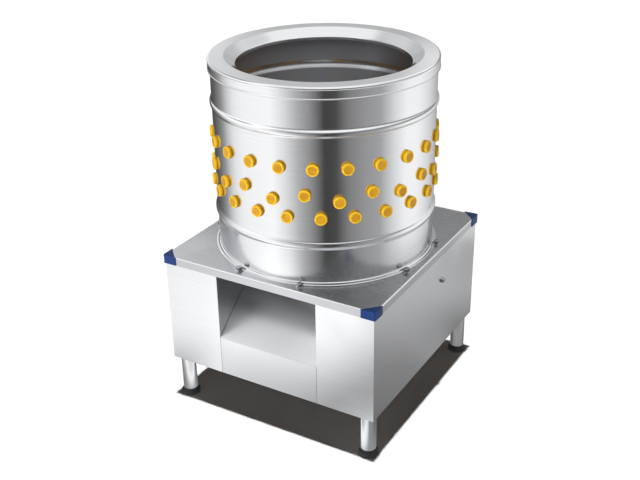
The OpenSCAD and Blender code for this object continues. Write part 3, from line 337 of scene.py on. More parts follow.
def grained(name, tones, roughness, grain_mm, depth_mm, rubbed=None, **more):
    """Two tones and a fine grain. A third tone is a painted highlight where the mesh is marked."""
    material, tree = new_material(name)
    slow = stretched_noise(tree, TONE_DRIFT, detail=3.0)
    grain = stretched_noise(tree, apart(grain_mm, grain_mm, grain_mm), detail=2.0)
    first, second = [linear(tone) for tone in tones]
    mixed = add_node(tree, "MapRange", Value=slow, **reach(0, 1)).outputs["Result"]
    colour = add_node(tree, "Mix", COLOURS, Factor=mixed, i6=first, i7=second).outputs[2]
    # A brighter tone where marked: a painted highlight.
    if rubbed:
        highlight_share = add_node(tree, "Attribute", {"attribute_name": "rubbed"}).outputs["Fac"]
        colour = add_node(
            tree, "Mix", COLOURS, Factor=highlight_share, i6=colour, i7=linear(rubbed)
        ).outputs[2]
    relief = add_node(tree, "Bump", Height=grain, Distance=depth_mm * MM, Strength=1.0)
    span = reach(roughness - GRAIN_ROUGHER, roughness + GRAIN_ROUGHER)
    return finish_material(
        material,
        tree,
        Base_Color=colour,
        Roughness=add_node(tree, "MapRange", Value=grain, **span).outputs["Result"],
        Normal=relief.outputs["Normal"],
        **more,
    )


MOULDED_AND_CAST = {
    # Natural rubber, cast: amber that glows a little from inside, with a painted highlight of
    # clear yellow round the edges.
    "amber_rubber": dict(
        tones=("#DFA50E", "#C68B0A"),
        roughness=0.46,
        grain_mm=1.1,
        depth_mm=0.08,
        rubbed="#FBC814",
        Specular_IOR_Level=0.35,
        Subsurface_Weight=0.08,
        Subsurface_Scale=0.004,
        Subsurface_Radius=(1.0, 0.5, 0.15),
    ),
    # Polypropylene caps with a spark-eroded grain: a deep blue with hardly a shine.
    "blue_plastic": dict(
        tones=("#1A4084", "#143570"),
        roughness=0.42,
        grain_mm=0.5,
        depth_mm=0.03,
        Specular_IOR_Level=0.25,
    ),
    # Glass-filled nylon of the feet: a soft blue-black.
    "foot_plastic": dict(
        tones=("#1C1F22", "#26292C"), roughness=0.5, grain_mm=0.6, depth_mm=0.04
    ),
    # ABS of the switch, and two buttons that are shinier.
    "black_plastic": dict(
        tones=("#17181A", "#202123"), roughness=0.45, grain_mm=0.5, depth_mm=0.03
    ),
    "green_plastic": dict(
        tones=("#12894A", "#0F7A41"), roughness=0.35, grain_mm=0.5, depth_mm=0.02
    ),
    "red_plastic": dict(
        tones=("#B81E22", "#A3181C"), roughness=0.35, grain_mm=0.5, depth_mm=0.02
    ),
    # Nitrile of the seals and the belt's fabric cover: both drink the light.
    "seal_rubber": dict(
        tones=("#1A1A1B", "#232324"), roughness=0.6, grain_mm=0.7, depth_mm=0.04
    ),
    "belt_rubber": dict(
        tones=("#1B1B1C", "#2A2928"), roughness=0.75, grain_mm=0.8, depth_mm=0.12
    ),
    # Sand-cast pulleys and housing: dark, rough and only half metallic to the eye.
    "cast_iron": dict(
        tones=("#5E6165", "#4C4E52"), roughness=0.58, grain_mm=0.9, depth_mm=0.12, Metallic=0.85
    ),
    # Zinc plate with its faint olive passivation.
    "zinc_plate": dict(
        tones=("#A9ABA6", "#96998F"), roughness=0.36, grain_mm=1.6, depth_mm=0.02, Metallic=1.0
    ),
    # The motor's hammered enamel: a shine broken up by small dimples.
    "motor_paint": dict(
        tones=("#55646F", "#4B5963"), roughness=0.34, grain_mm=2.4, depth_mm=0.10
    ),
}
finishes |= {name: grained(name, **look) for name, look in MOULDED_AND_CAST.items()}
print("all finishes:", len(finishes))

# %% [markdown]
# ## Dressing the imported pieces
#
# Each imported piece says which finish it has, and its single slot takes the material made for it.
# A few sheets share a slot with other pieces but were finished another way. Those are listed,
# and they get their own finish when they are made below.

# %% Dress the pieces
SHEET_FINISH = {
    "deck_panel": "mill_stainless",
    "chute_slide": "satin_stainless",
    "chute_cheeks": "satin_stainless",
    "drum_shell": "rolled_stainless",
    "rim_ring": "rolled_stainless",
}
slot_of = {s["node"]: s["material_slot"] for s in frame["record"]["subparts"]}


def dress(obj, finish):
    obj.data.materials.clear()
    obj.data.materials.append(finishes[finish])


missing = sorted(set(slot_of.values()) - set(finishes))
print("slots with no finish:", missing)
for name, slot in slot_of.items():
    dress(nodes[name], slot)

# %% [markdown]
# ## Tools for making pieces
#
# A finished piece is one mesh with its place in its points. It rides on a body of the packed
# model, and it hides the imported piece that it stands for. Large flat faces keep their own
# direction when the light is worked out, so a rounded edge doesn't make a flat sheet look
# dented: a Weighted Normal modifier sees to that.

# %% Keep a finished piece
SMOOTH_UP_TO = math.radians(40)


def keep(bm, name, slot, body, *stands_for):
    finish = SHEET_FINISH.get(stands_for[0], slot) if stands_for else slot
    bmesh.ops.recalc_face_normals(bm, faces=bm.faces)
    mesh = bpy.data.meshes.new(name)
    bm.to_mesh(mesh)
    bm.free()
    mesh.shade_smooth()
    mesh.set_sharp_from_angle(angle=SMOOTH_UP_TO)
    obj = bpy.data.objects.new(name, mesh)
    bpy.context.scene.collection.objects.link(obj)
    weighted = obj.modifiers.new("flat faces stay flat", "WEIGHTED_NORMAL")
    weighted.keep_sharp = True
    dress(obj, finish)
    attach(obj, body)
    if stands_for:
        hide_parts(*stands_for)
    print(f"{name}: {len(mesh.polygons)} faces on {body}")
    return obj


print("edges look sharp from", round(math.degrees(SMOOTH_UP_TO)), "degrees")

# %% [markdown]
# Whatever a lathe, a roller or a round mould makes is an outline spun round an axis. The outline
# is drawn in millimetres as radius and height, with its round stretches as arcs.

# %% Spin an outline
SEAM_GAP = 0.001 * MM


def arc(centre, radius, start, end, steps):
    """Points on an arc in the (radius, height) plane, from one angle to another in degrees."""
    turns = [math.radians(start + (end - start) * i / steps) for i in range(steps + 1)]
    return [
        (centre[0] + radius * math.cos(t), centre[1] + radius * math.sin(t)) for t in turns
    ]


def spun(profile, steps, closed=False):
    """Spins an outline of (radius, height) in millimetres once round the Z axis."""
    bm = bmesh.new()
    verts = [bm.verts.new((r * MM, 0, z * MM)) for r, z in profile]
    edges = [bm.edges.new(pair) for pair in zip(verts, verts[1:])]
    if closed:
        edges.append(bm.edges.new((verts[-1], verts[0])))
    bmesh.ops.spin(
        bm,
        geom=verts + edges,
        cent=(0, 0, 0),
        axis=(0, 0, 1),
        angle=2 * math.pi,
        steps=steps,
        use_merge=True,
    )
    bmesh.ops.remove_doubles(bm, verts=bm.verts, dist=SEAM_GAP)
    bmesh.ops.recalc_face_normals(bm, faces=bm.faces)
    return bm


print("a quarter round in 3 steps:", [round(x, 2) for x, _ in arc((0, 0), 1, 0, 90, 3)])

# %% [markdown]
# A piece that repeats is made once and copied to its places. A place is a matrix: a shift, or a
# turn about an axis, or several of them multiplied.


# %% Copy a piece to its places
def scatter(bm, places):
    """One bmesh with a copy of bm at each place."""
    mesh = bpy.data.meshes.new("copy")
    bm.to_mesh(mesh)
    bm.free()
    many = bmesh.new()
    for place in places:
        start = len(many.verts)
        many.from_mesh(mesh)
        many.verts.ensure_lookup_table()
        bmesh.ops.transform(many, matrix=place, verts=many.verts[start:])
    bpy.data.meshes.remove(mesh)
    return many


def at(x, y, z):
    return Matrix.Translation(Vector((x, y, z)) * MM)


def turned(degrees, axis):
    return Matrix.Rotation(math.radians(degrees), 4, axis)


print("a place 300 mm up:", at(0, 0, 300).translation.z)

# %% [markdown]
# ## Folded sheet
#
# The cabinet is folded and cut from sheet. A press brake leaves a small radius along each fold,
# and a file takes the edge off each cut, so every edge catches a thin line of light. Each of
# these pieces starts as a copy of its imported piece. Its triangles are merged and joined back
# into flat faces, and then its sharp edges are bevelled. Drawing the sheets again would only
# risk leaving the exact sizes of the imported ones.

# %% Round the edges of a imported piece
SHARP = math.radians(28)
FLAT_WITHIN = math.radians(0.6)
MERGE_GAP = 0.002 * MM
ROLLED_SEGMENTS = 6


def round_edges(bm, edges, radius_mm, segments):
    return bmesh.ops.bevel(
        bm,
        geom=edges,
        offset=radius_mm * MM,
        offset_type="OFFSET",
        affect="EDGES",
        segments=segments,
        profile=0.5,
        material=-1,
        clamp_overlap=True,
    )


def soften(node, radius_mm, segments=2, rolled=(), shaded_faces=None, shade_share=0.0):
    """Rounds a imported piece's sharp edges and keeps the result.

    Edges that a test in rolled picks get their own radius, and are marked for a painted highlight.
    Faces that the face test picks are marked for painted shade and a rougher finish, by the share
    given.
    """
    bm = bmesh.new()
    bm.from_mesh(nodes[node].data)
    bmesh.ops.remove_doubles(bm, verts=bm.verts, dist=MERGE_GAP)
    bmesh.ops.dissolve_limit(bm, angle_limit=FLAT_WITHIN, verts=bm.verts, edges=bm.edges)
    # Rolled folds are marked for a painted highlight.
    rubbed = bm.verts.layers.float.new("rubbed")
    for test, fold_mm in rolled:
        made = round_edges(bm, [e for e in bm.edges if test(e)], fold_mm, ROLLED_SEGMENTS)
        fold = set(made["faces"])
        for vert in made["verts"]:
            vert[rubbed] = float(fold.issuperset(vert.link_faces))
    sharp = [
        e for e in bm.edges if len(e.link_faces) == 2 and e.calc_face_angle(0) > SHARP
    ]
    round_edges(bm, sharp, radius_mm, segments)
    # Picked faces are marked for painted shade and a rougher finish.
    if shaded_faces:
        shade_and_dull = bm.verts.layers.float.new("shade_and_dull")
        for face in filter(shaded_faces, bm.faces):
            for vert in face.verts:
                vert[shade_and_dull] = shade_share
    return keep(bm, node + "_soft", slot_of[node], nodes[node]["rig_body"], node)


SHEET_EDGE = 0.5
BOLT_EDGE = 0.35
EDGE_RADIUS = {
    "front_panel_left": SHEET_EDGE,
    "front_panel_right": SHEET_EDGE,
    "side_panel_left": SHEET_EDGE,
    "side_panel_right": SHEET_EDGE,
    "rear_panel": SHEET_EDGE,
    "drum_bolts": BOLT_EDGE,
    "beam_bolts": BOLT_EDGE,
}
for node, radius in EDGE_RADIUS.items():
    soften(node, radius)

# %% [markdown]
# The deck's four long folds are rounder than its cut edges, and they are marked for a painted
# highlight, a brighter tone that draws each as a white line along the deck. A test picks their
# edges by where they lie, which holds when a size changes. A list of edge numbers wouldn't.

# %% The deck
SLACK = 0.1 * MM
DECK_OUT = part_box("deck_panel")[1][0]
DECK_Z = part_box("drum_foot_ring")[0][2]
DECK_FOLD = 3.0


def on_deck_fold(edge):
    """True for the four edges where the deck's top turns down into its skirt."""
    top = all(abs(v.co.z - DECK_Z) < SLACK for v in edge.verts)
    middle = (edge.verts[0].co + edge.verts[1].co) / 2
    out = max(abs(middle.x), abs(middle.y))
    return top and abs(out - DECK_OUT) < SLACK


soften("deck_panel", SHEET_EDGE, rolled=[(on_deck_fold, DECK_FOLD)])

# %% [markdown]
# The chute is brushed finer than the panels. On the slope and on the cheeks beside it the steel
# is painted darker, as shade, and is rougher, while the apron in front stays as bright as the
# panels. The slope is picked by its tilt, and the cheeks by the way they face.

# %% The chute
SLOPE_TILT = (0.3, 0.95)
SIDEWAYS = 0.9
SLOPE_SHADE_DULL = 0.17
CHEEK_SHADE_DULL = 0.37


def on_slope(face):
    return SLOPE_TILT[0] < abs(face.normal.z) < SLOPE_TILT[1]


def on_cheek(face):
    return abs(face.normal.x) > SIDEWAYS


soften("chute_slide", SHEET_EDGE, shaded_faces=on_slope, shade_share=SLOPE_SHADE_DULL)
soften("chute_cheeks", SHEET_EDGE, shaded_faces=on_cheek, shade_share=CHEEK_SHADE_DULL)

# %% [markdown]
# The ring round the foot of the drum is rolled from strip. Its upper edge is a bead, which shows
# as a bright line all the way round. Its folds are circles, so the test that picks them asks each
# edge for its radius and its height.

# %% The foot ring
DRUM_R = 276.0
RING_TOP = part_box("drum_foot_ring")[1][2] / MM
RING_BEAD = 4.8
RING_BEAD_ROUND = 4.0
RING_FLANGE = 10
RING_FLANGE_ROUND = 2.6
RING_EDGE = 0.3
ACROSS_SLACK = 0.2
HEIGHT_SLACK = 0.1


def on_circle(radius, height):
    """A test for edges on the circle of a radius and a height in millimetres."""
    return lambda edge: all(
        abs(math.hypot(v.co.x, v.co.y) / MM - radius) < ACROSS_SLACK
        and abs(v.co.z / MM - height) < HEIGHT_SLACK
        for v in edge.verts
    )


bead_edge = on_circle(DRUM_R + RING_BEAD, RING_TOP)
flange_edge = on_circle(DRUM_R + RING_FLANGE, RING_TOP - RING_BEAD)
soften(
    "drum_foot_ring",
    RING_EDGE,
    rolled=[(bead_edge, RING_BEAD_ROUND), (flange_edge, RING_FLANGE_ROUND)],
)

# %% [markdown]
# ## Moulded corners and the switch
#
# A blue cap is pushed over each corner of the deck, so that the sheet can't cut a hand. It comes
# out of its mould with well rounded edges, as do the switch on the back and the cable's gland.
# Three segments to an edge look round from this far.

# %% Caps, switch and gland
CAP_EDGE = 1.4
MOULDED = {
    "corner_cap_front_left": CAP_EDGE,
    "corner_cap_front_right": CAP_EDGE,
    "corner_cap_rear_left": CAP_EDGE,
    "corner_cap_rear_right": CAP_EDGE,
    "switch_body": 1.0,
    "cable_gland": 0.5,
}
for node, radius in MOULDED.items():
    soften(node, radius, segments=3)

# %% [markdown]
# ## The drum's wall
#
# The wall is one sheet, rolled round and welded, with two beads rolled outward to stiffen it.
# A bead is an arc that runs into the wall with a smaller, hollow curve on each side, so the wall
# is one outline, spun. Only the outside is polished: the inside is rougher and painted darker, as
# shade, and less so on the beads, which shows as a painted highlight.

# %% The wall's outline
DECK_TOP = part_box("drum_shell")[0][2] / MM
DRUM_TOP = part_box("rim_ring")[1][2] / MM
WALL_T = 2.0
WALL_END = 0.1
BEADS = (DECK_TOP + 103, DECK_TOP + 379)
BEAD_HALF = 10.0
BEAD_OUT = 5.0
BEAD_ROOT = 3.0
BEAD_EASE = 8
BEAD_STEPS = 14
ROUND_STEPS = 256


def bead(wall_r, middle, way):
    """A bead's outline up the wall, or down it where way is -1."""
    crown = (BEAD_HALF**2 + BEAD_OUT**2) / (2 * BEAD_OUT)
    edge = math.degrees(math.asin(BEAD_HALF / crown)) - BEAD_EASE
    top = arc((wall_r + BEAD_OUT - crown, middle), crown, -edge, edge, BEAD_STEPS)
    low = (wall_r, middle - BEAD_HALF - BEAD_ROOT)
    high = (wall_r, middle + BEAD_HALF + BEAD_ROOT)
    points = [low, *top, high]
    return points if way > 0 else points[::-1]


foot = DECK_TOP + WALL_END
head = DRUM_TOP - WALL_T - WALL_END
outside = [(DRUM_R, foot)]
for middle in BEADS:
    outside += bead(DRUM_R, middle, 1)
outside.append((DRUM_R, head))
inside = [(DRUM_R - WALL_T, head)]
for middle in BEADS[::-1]:
    inside += bead(DRUM_R - WALL_T, middle, -1)
inside.append((DRUM_R - WALL_T, foot))
print("points up the wall and down again:", len(outside), len(inside))

# %% [markdown]
# The points of the inner outline are marked for painted shade and a rougher finish. Those out in
# a bead are marked less, so a painted highlight shows as a brighter ring inside the drum.

# %% The wall
PRESSED = 0.5
BEAD_SHADE_DULL = 0.4
wall = spun(outside + inside, ROUND_STEPS, closed=True)
shade_and_dull = wall.verts.layers.float.new("shade_and_dull")
lining = {(round(r, 2), round(z, 2)) for r, z in inside}
for vert in wall.verts:
    away = vert.co.xy.length / MM
    if (round(away, 2), round(vert.co.z / MM, 2)) in lining:
        vert[shade_and_dull] = 1.0 if away < DRUM_R - WALL_T + PRESSED else BEAD_SHADE_DULL
print("dull points inside the wall:", sum(v[shade_and_dull] > 0 for v in wall.verts))
keep(wall, "drum_wall", "polished_stainless", "cabinet", "drum_shell")

# %% [markdown]
# ## The rim
#
# One ring closes the top of the drum. From the inside out it has a short straight lip, a funnel
# that throws the water back, a flat top, a rounded edge with a fine rolled groove under it, and
# a band that ends in a rolled hem. It could be spun on a lathe over a wooden former, and it is
# made the same way here: one outline, spun.

# %% The rim
RIM_R = 281.0
RIM_T = 2.0
EDGE_ROUND = 5.0
HEM_R = 2.5
HEM_PAST_BAND = 1
HEM_TURN = (53, -258)
FLAT_IN = 241.0
FLAT_ROUND = 4
FLAT_SHIFT = 1.5
MOUTH_R = 214.0
MOUTH_ROUND = 3
MOUTH_SHIFT = 1.6
FUNNEL_TURN = 127
FUNNEL_Z = DRUM_TOP - 20
LIP_Z = FUNNEL_Z - 8
BAND_Z = DRUM_TOP - 28
GROOVE_Z = DRUM_TOP - 6.4
GROOVE_HALF = 0.8
GROOVE_DEEP = 0.7

edge_centre = (RIM_R - EDGE_ROUND, DRUM_TOP - EDGE_ROUND)
rim_outline = [
    (MOUTH_R, LIP_Z),
    *arc((MOUTH_R + MOUTH_ROUND, FUNNEL_Z - MOUTH_SHIFT), MOUTH_ROUND, 180, FUNNEL_TURN, 4),
    *arc((FLAT_IN + FLAT_SHIFT, DRUM_TOP - FLAT_ROUND), FLAT_ROUND, FUNNEL_TURN, 90, 4),
    *arc(edge_centre, EDGE_ROUND, 90, 4, 8),
    (RIM_R, GROOVE_Z + GROOVE_HALF),
    (RIM_R - GROOVE_DEEP, GROOVE_Z),
    (RIM_R, GROOVE_Z - GROOVE_HALF),
    *arc((RIM_R + HEM_PAST_BAND - HEM_R, BAND_Z), HEM_R, *HEM_TURN, 20),
    *arc(edge_centre, EDGE_ROUND - RIM_T, 0, 90, 5),
    (FLAT_IN + FLAT_SHIFT, DRUM_TOP - RIM_T),
    (MOUTH_R + RIM_T, FUNNEL_Z - MOUTH_SHIFT),
    (MOUTH_R + RIM_T, LIP_Z),
]
rim = spun(rim_outline, ROUND_STEPS, closed=True)
keep(rim, "rim", "polished_stainless", "cabinet", "rim_ring")

# %% [markdown]
# ## Plucking fingers
#
# A finger is cast in rubber: a round head that stays outside the sheet, a neck that fills its
# hole, a collar that snaps in behind it, and a long ribbed cone that does the plucking. The
# mould rounds every edge, and the head has a shallow dish. All of it is round, so one finger is
# an outline, spun. The outline runs from the middle of the head to the tip, and heights are
# measured from the outside of the sheet.

# %% The finger's outline
HEAD_R = 15.0
HEAD_H = 8.8
HEAD_ROUND = 2.4
HEAD_FOOT = 0.8
DISH_R = 11.6
DISH_DEEP = 1.0
NECK_R = 9.9
COLLAR_R = 13.0
COLLAR_H = 5
TIP_R = 7.5
TIP_ROUND = 2.5
FINGER_LEN = 80.0
RIBS = 8
RIB_H = 1.4
RIB_FLANK = 0.25
PLAIN_TIP = 8
# Shares of the way from one rib to the next.
FIRST_CREST = 0.6
HOLLOW_BEFORE = 0.42
CREST_HALF = 0.2


def dished_head():
    return [
        (0, DISH_DEEP - HEAD_H),
        (DISH_R - 3.1, DISH_DEEP - 0.1 - HEAD_H),
        (DISH_R - 1.0, 0.15 - HEAD_H),
        (DISH_R, -HEAD_H),
        *arc((HEAD_R - HEAD_ROUND, HEAD_ROUND - HEAD_H), HEAD_ROUND, -90, 0, 4),
        (HEAD_R, -1.0),
        *arc((HEAD_R - HEAD_FOOT, -HEAD_FOOT), HEAD_FOOT, 20, 90, 2),
    ]


def ribs(foot):
    """The ribs up the cone: each one is a blunt crest with a hollow before it."""
    pitch = (FINGER_LEN - PLAIN_TIP) / RIBS
    slope = (COLLAR_R - TIP_R) / FINGER_LEN
    points = []
    for i in range(RIBS):
        middle = COLLAR_H + (i + FIRST_CREST) * pitch
        crest = COLLAR_R - slope * middle
        points += [
            (crest - RIB_H, foot + middle - HOLLOW_BEFORE * pitch),
            (crest - RIB_FLANK, foot + middle - CREST_HALF * pitch),
            (crest, foot + middle),
            (crest - RIB_FLANK, foot + middle + CREST_HALF * pitch),
        ]
    return points


def finger_outline(grip):
    """grip is the thickness of the sheet that the neck fills."""
    tip = grip + FINGER_LEN
    return [
        *dished_head(),
        (NECK_R, 0),
        (NECK_R, grip),
        (COLLAR_R - 0.5, grip),
        (COLLAR_R, grip + 0.6),
        (COLLAR_R, grip + COLLAR_H),
        *ribs(grip),
        *arc((TIP_R - TIP_ROUND, tip - TIP_ROUND), TIP_ROUND, 0, 90, 3),
        (0, tip),
    ]


print("points in a finger's outline:", len(finger_outline(2.5)))

# %% [markdown]
# The head gets a painted highlight: a clear yellow round its edge, while the dish in its middle
# keeps the darker tones. The points outside the dish are marked for that.

# %% One finger
HIGHLIGHT_IN = 11.2
HIGHLIGHT_BACK = -2
FINGER_STEPS = 28


def finger(grip):
    bm = spun(finger_outline(grip), FINGER_STEPS)
    rubbed = bm.verts.layers.float.new("rubbed")
    for vert in bm.verts:
        away = math.hypot(vert.co.x, vert.co.y) / MM
        vert[rubbed] = float(away > HIGHLIGHT_IN and vert.co.z < HIGHLIGHT_BACK * MM)
    return bm


print("a finger stands", round(HEAD_H + FINGER_LEN, 1), "mm long with its head")

# %% [markdown]
# The wall has three rows. Every second finger of the middle row stands a little higher than the
# next, which keeps two of them from plucking the same ring of a bird.

# %% The fingers in the wall
COLUMNS = 22
WALL_GRIP = 2.5
# For each row: the angle of its first finger, its height, and how far it zigzags.
ROWS = {"upper": (294.5, 295, 0), "middle": (290.5, 223, 8.5), "lower": (298.0, 174, 0)}
for row, (first, height, zigzag) in ROWS.items():
    places = [
        turned(first + i * 360 / COLUMNS, "Z")
        @ at(DRUM_R, 0, DECK_TOP + height + zigzag * (-1) ** i)
        @ turned(-90, "Y")
        for i in range(COLUMNS)
    ]
    keep(
        scatter(finger(WALL_GRIP), places),
        "wall_fingers_" + row + "_cast",
        "amber_rubber",
        "cabinet",
        "wall_fingers_" + row,
    )

# %% [markdown]
# On the turning plate the fingers stand up in three rings, closer together towards the outside,
# where the plate moves fastest.

# %% The fingers on the plate
PLATE_Z = DECK_TOP + 42
PLATE_GRIP = 3.0
# For each ring: its radius, how many fingers it has, and the angle of the first.
PLATE_RINGS = ((94, 6, 30), (160, 9, 20), (226, 12, 15))
places = [
    turned(first + i * 360 / count, "Z") @ at(radius, 0, PLATE_Z)
    for radius, count, first in PLATE_RINGS
    for i in range(count)
]
plate_fingers = scatter(finger(PLATE_GRIP), places)
keep(plate_fingers, "plate_fingers_cast", "amber_rubber", "rotor", "plate_fingers")

# %% [markdown]
# ## Legs and levelling feet
#
# Each leg is a polished tube with its lower end rounded over. A black foot screws into it: a
# pad moulded round the head of a threaded stem, waisted above its sole. Both are round, so they
# are spun. The foot rides on a body of its own, because it screws in and out.

# %% Outlines of a leg and a foot
LEG_X = 272.0
LEG_R = 19.0
LEG_T = 1.5
LEG_LOW = 16.3
LEG_TOP = 143.0
LEG_ROUND = 1.2
INSERT_H = 24
FOOT_R = 24.5
PAD_EDGE = 1.2
SOLE_H = 6.5
SOLE_ROUND = 2.0
WAIST = 4.5
WAIST_FROM = 10.6
WAIST_TO = 13.5
PAD_H = 16.0
STEM_R = 6.0
STEM_TOP = 68.0
STEM_TIP = 1.5
STEM_SLACK = 0.3


def leg_outline():
    return [
        (STEM_R + STEM_SLACK, LEG_LOW),
        *arc((LEG_R - LEG_ROUND, LEG_LOW + LEG_ROUND), LEG_ROUND, -90, 0, 3),
        (LEG_R, LEG_TOP),
        (LEG_R - LEG_T, LEG_TOP),
        (LEG_R - LEG_T, LEG_LOW + INSERT_H),
        (STEM_R + STEM_SLACK, LEG_LOW + INSERT_H),
    ]


def foot_outline():
    return [
        (0, 0),
        *arc((FOOT_R - PAD_EDGE, PAD_EDGE), PAD_EDGE, -90, 0, 3),
        (FOOT_R, SOLE_H),
        *arc((FOOT_R - SOLE_ROUND, SOLE_H + 1.0), SOLE_ROUND, 0, 80, 4),
        (FOOT_R - WAIST, WAIST_FROM),
        (FOOT_R - WAIST, WAIST_TO),
        *arc((FOOT_R - WAIST - SOLE_ROUND, PAD_H - SOLE_ROUND), SOLE_ROUND, 0, 90, 3),
        (STEM_R, PAD_H),
        (STEM_R, STEM_TOP - STEM_TIP),
        (STEM_R - STEM_TIP, STEM_TOP),
        (0, STEM_TOP),
    ]


print("points in a leg and in a foot:", len(leg_outline()), len(foot_outline()))

# %% [markdown]
# Scallops round the sole let fingers turn the foot. They are a cosine wave round its side, cut
# in by moving the points of the spun sole inward.

# %% Legs and feet
GRIPS = 20
STEPS_A_GRIP = 5
GRIP_DEEP = 1.1
SOLE_SIDE = (1.0, 9.0)
SIDE_DEEP = 1.6
LEG_STEPS = 64


def scallop(bm):
    for vert in bm.verts:
        radius = vert.co.xy.length / MM
        if radius > FOOT_R - SIDE_DEEP and SOLE_SIDE[0] < vert.co.z / MM < SOLE_SIDE[1]:
            wave = math.cos(GRIPS * math.atan2(vert.co.y, vert.co.x))
            vert.co.xy *= 1 - GRIP_DEEP / 2 * (1 - wave) / radius
    return bm


CORNERS = {
    "front_left": (-1, -1),
    "front_right": (1, -1),
    "rear_left": (-1, 1),
    "rear_right": (1, 1),
}
for corner, (side, end) in CORNERS.items():
    place = at(side * LEG_X, end * LEG_X, 0)
    tube = spun(leg_outline(), LEG_STEPS, closed=True)
    bmesh.ops.transform(tube, matrix=place, verts=tube.verts)
    keep(tube, "leg_tube_" + corner, "polished_stainless", "cabinet", "leg_" + corner)
    pad = scallop(spun(foot_outline(), STEPS_A_GRIP * GRIPS))
    bmesh.ops.transform(pad, matrix=place, verts=pad.verts)
    keep(pad, "foot_pad_" + corner, "foot_plastic", "foot_" + corner, "foot_" + corner)

# %% [markdown]
# ## The studio
#
# Polished steel has hardly a look of its own: it shows what stands round it. A photographer hangs
# white and black boards about such a machine. Here a round screen takes their place. It is seen
# only in mirrors, and so are the tones of the floor. The camera itself sees a plain white floor
# and a plain white sky.
#
# Each list goes once round the machine, with degrees to the right of the camera and a brightness.
# The drum mirrors the low part of the screen: a wide light on the left, a narrow dark gap at
# the camera, and a second light on the right. The deck mirrors the high part. Above that, two
# bright strips stand where the rounded folds of the deck see them, so that each fold is drawn as
# a white line. The highest part is what the chute's slope sees.

# %% What the screen shows
LOW_SCREEN = [
    (-172, 0.18), (-150, 0.06), (-134, 0.10), (-122, 0.18), (-111, 0.32), (-101, 0.66),
    (-92, 0.90), (-80, 1.03), (-66, 1.06), (-48, 1.10), (-36, 0.85), (-24, 0.50),
    (-12, 0.29), (-1, 0.05), (9, 0.07), (20, 0.24), (34, 0.34), (49, 0.41),
    (64, 0.80), (78, 1.05), (94, 1.04), (112, 0.82), (136, 0.50), (165, 0.22),
]
HIGH_SCREEN = [
    (-172, 0.50), (-156, 0.95), (-148, 1.20), (-116, 0.95), (-80, 1.35), (-60, 1.15),
    (-44, 0.60), (-30, 0.26), (-8, 0.10), (16, 0.10), (30, 0.17), (62, 0.20),
    (90, 0.24), (139, 0.24), (156, 0.36), (172, 0.48),
]
TOP_SCREEN = [
    (-174, 0.58), (-168, 0.58), (-160, 0.76), (-148, 0.72), (-112, 0.50), (-95, 0.36),
    (-80, 0.40), (-66, 1.40), (-56, 1.40), (-44, 0.90), (-20, 1.00), (0, 1.12),
    (40, 1.05), (96, 0.80), (118, 1.50), (138, 0.70), (150, 0.72), (159, 0.88),
    (165, 0.58), (173, 0.58),
]
OPEN_SKY = [(-140, 1.00), (-108, 0.66), (-76, 0.66), (-50, 1.00), (140, 1.00)]
screen_parts = (LOW_SCREEN, HIGH_SCREEN, TOP_SCREEN, OPEN_SKY)
print("lights in each part of the screen:", [len(part) for part in screen_parts])

# %% [markdown]
# The cabinet's upright panels mirror the floor. Far out it is bright towards the left, which
# whitens the front, and near the machine it is dark, which shades the panels towards their feet.
# The narrow lights close by are what the legs show as stripes.

# %% What the floor shows in mirrors
FAR_FLOOR = [
    (-150, 0.50), (-95, 0.85), (-72, 1.10), (-55, 1.34), (-44, 1.31), (-34, 1.25),
    (-27, 0.90), (-20, 0.52), (-12, 0.30), (-1, 0.10), (9, 0.12), (20, 0.27),
    (50, 0.41), (88, 0.52), (104, 0.54), (118, 0.42), (160, 0.40),
]
NEAR_FLOOR = [
    (-150, 0.10), (-90, 0.14), (-78, 0.22), (-71, 0.36), (-62, 1.05), (-55, 0.86),
    (-35, 0.70), (-18, 0.42), (-7, 0.62), (1, 1.15), (6, 0.95), (12, 0.34),
    (20, 0.30), (32, 0.18), (51, 0.22), (76, 0.26), (89, 0.34), (98, 0.30),
    (106, 0.14), (150, 0.10),
]
print("lights on the far and the near floor:", len(FAR_FLOOR), len(NEAR_FLOOR))

# %% [markdown]
# A colour ramp turns such a list into light. A radial gradient gives each direction a place
# from 0 to 1 on the ramp, once the directions are turned to start behind the machine.


# %% A list as a ramp
def on_ramp(degrees):
    return degrees / 360 + 0.5


def round_ramp(tree, place, lights):
    """Brightness by the direction from the machine: a ramp that goes once round."""
    turn = add_node(
        tree,
        "VectorRotate",
        {"rotation_type": "Z_AXIS"},
        Vector=place,
        Angle=math.pi / 2 - AZIMUTH,
    ).outputs["Vector"]
    round_it = add_node(
        tree, "TexGradient", {"gradient_type": "RADIAL"}, Vector=turn
    ).outputs["Fac"]
    ramp = add_node(tree, "ValToRGB", Fac=round_it)
    ramp.color_ramp.interpolation = "LINEAR"
    stops = ramp.color_ramp.elements
    stops.remove(stops[1])
    for i, (degrees, level) in enumerate(lights):
        stop = stops[0] if i == 0 else stops.new(on_ramp(degrees))
        stop.position = on_ramp(degrees)
        stop.color = (level, level, level, 1)
    return ramp.outputs["Color"]


print("the way to the camera lies at", on_ramp(0), "on a ramp")

# %% [markdown]
# The floor and the screen belong to the studio and not to the machine. Each is a plain mesh that
# goes on the stage, so no export or check takes it for a piece.


# %% A piece of the studio
def stage_piece(name, bm, material):
    mesh = bpy.data.meshes.new(name)
    bm.to_mesh(mesh)
    bm.free()
    mesh.materials.append(material)
    piece = bpy.data.objects.new(name, mesh)
    bpy.context.scene.collection.objects.link(piece)
    return piece


# %% [markdown]
# The floor is matte white paint that keeps the machine's shadow. Where a mirror looks at it, it
# shows the near and the far list instead, blended over the ground between them.

# %% The floor
FLOOR_HALF = 9.0
NEAR_ENDS = 0.42
FAR_STARTS = 0.80
FLOOR_WHITE = (0.95, 0.95, 0.95, 1)
FLOOR_GRAIN = apart(25, 25, 25)
FLOOR_ROUGH = (0.85, 0.95)
EASED = {"interpolation_type": "SMOOTHSTEP"}


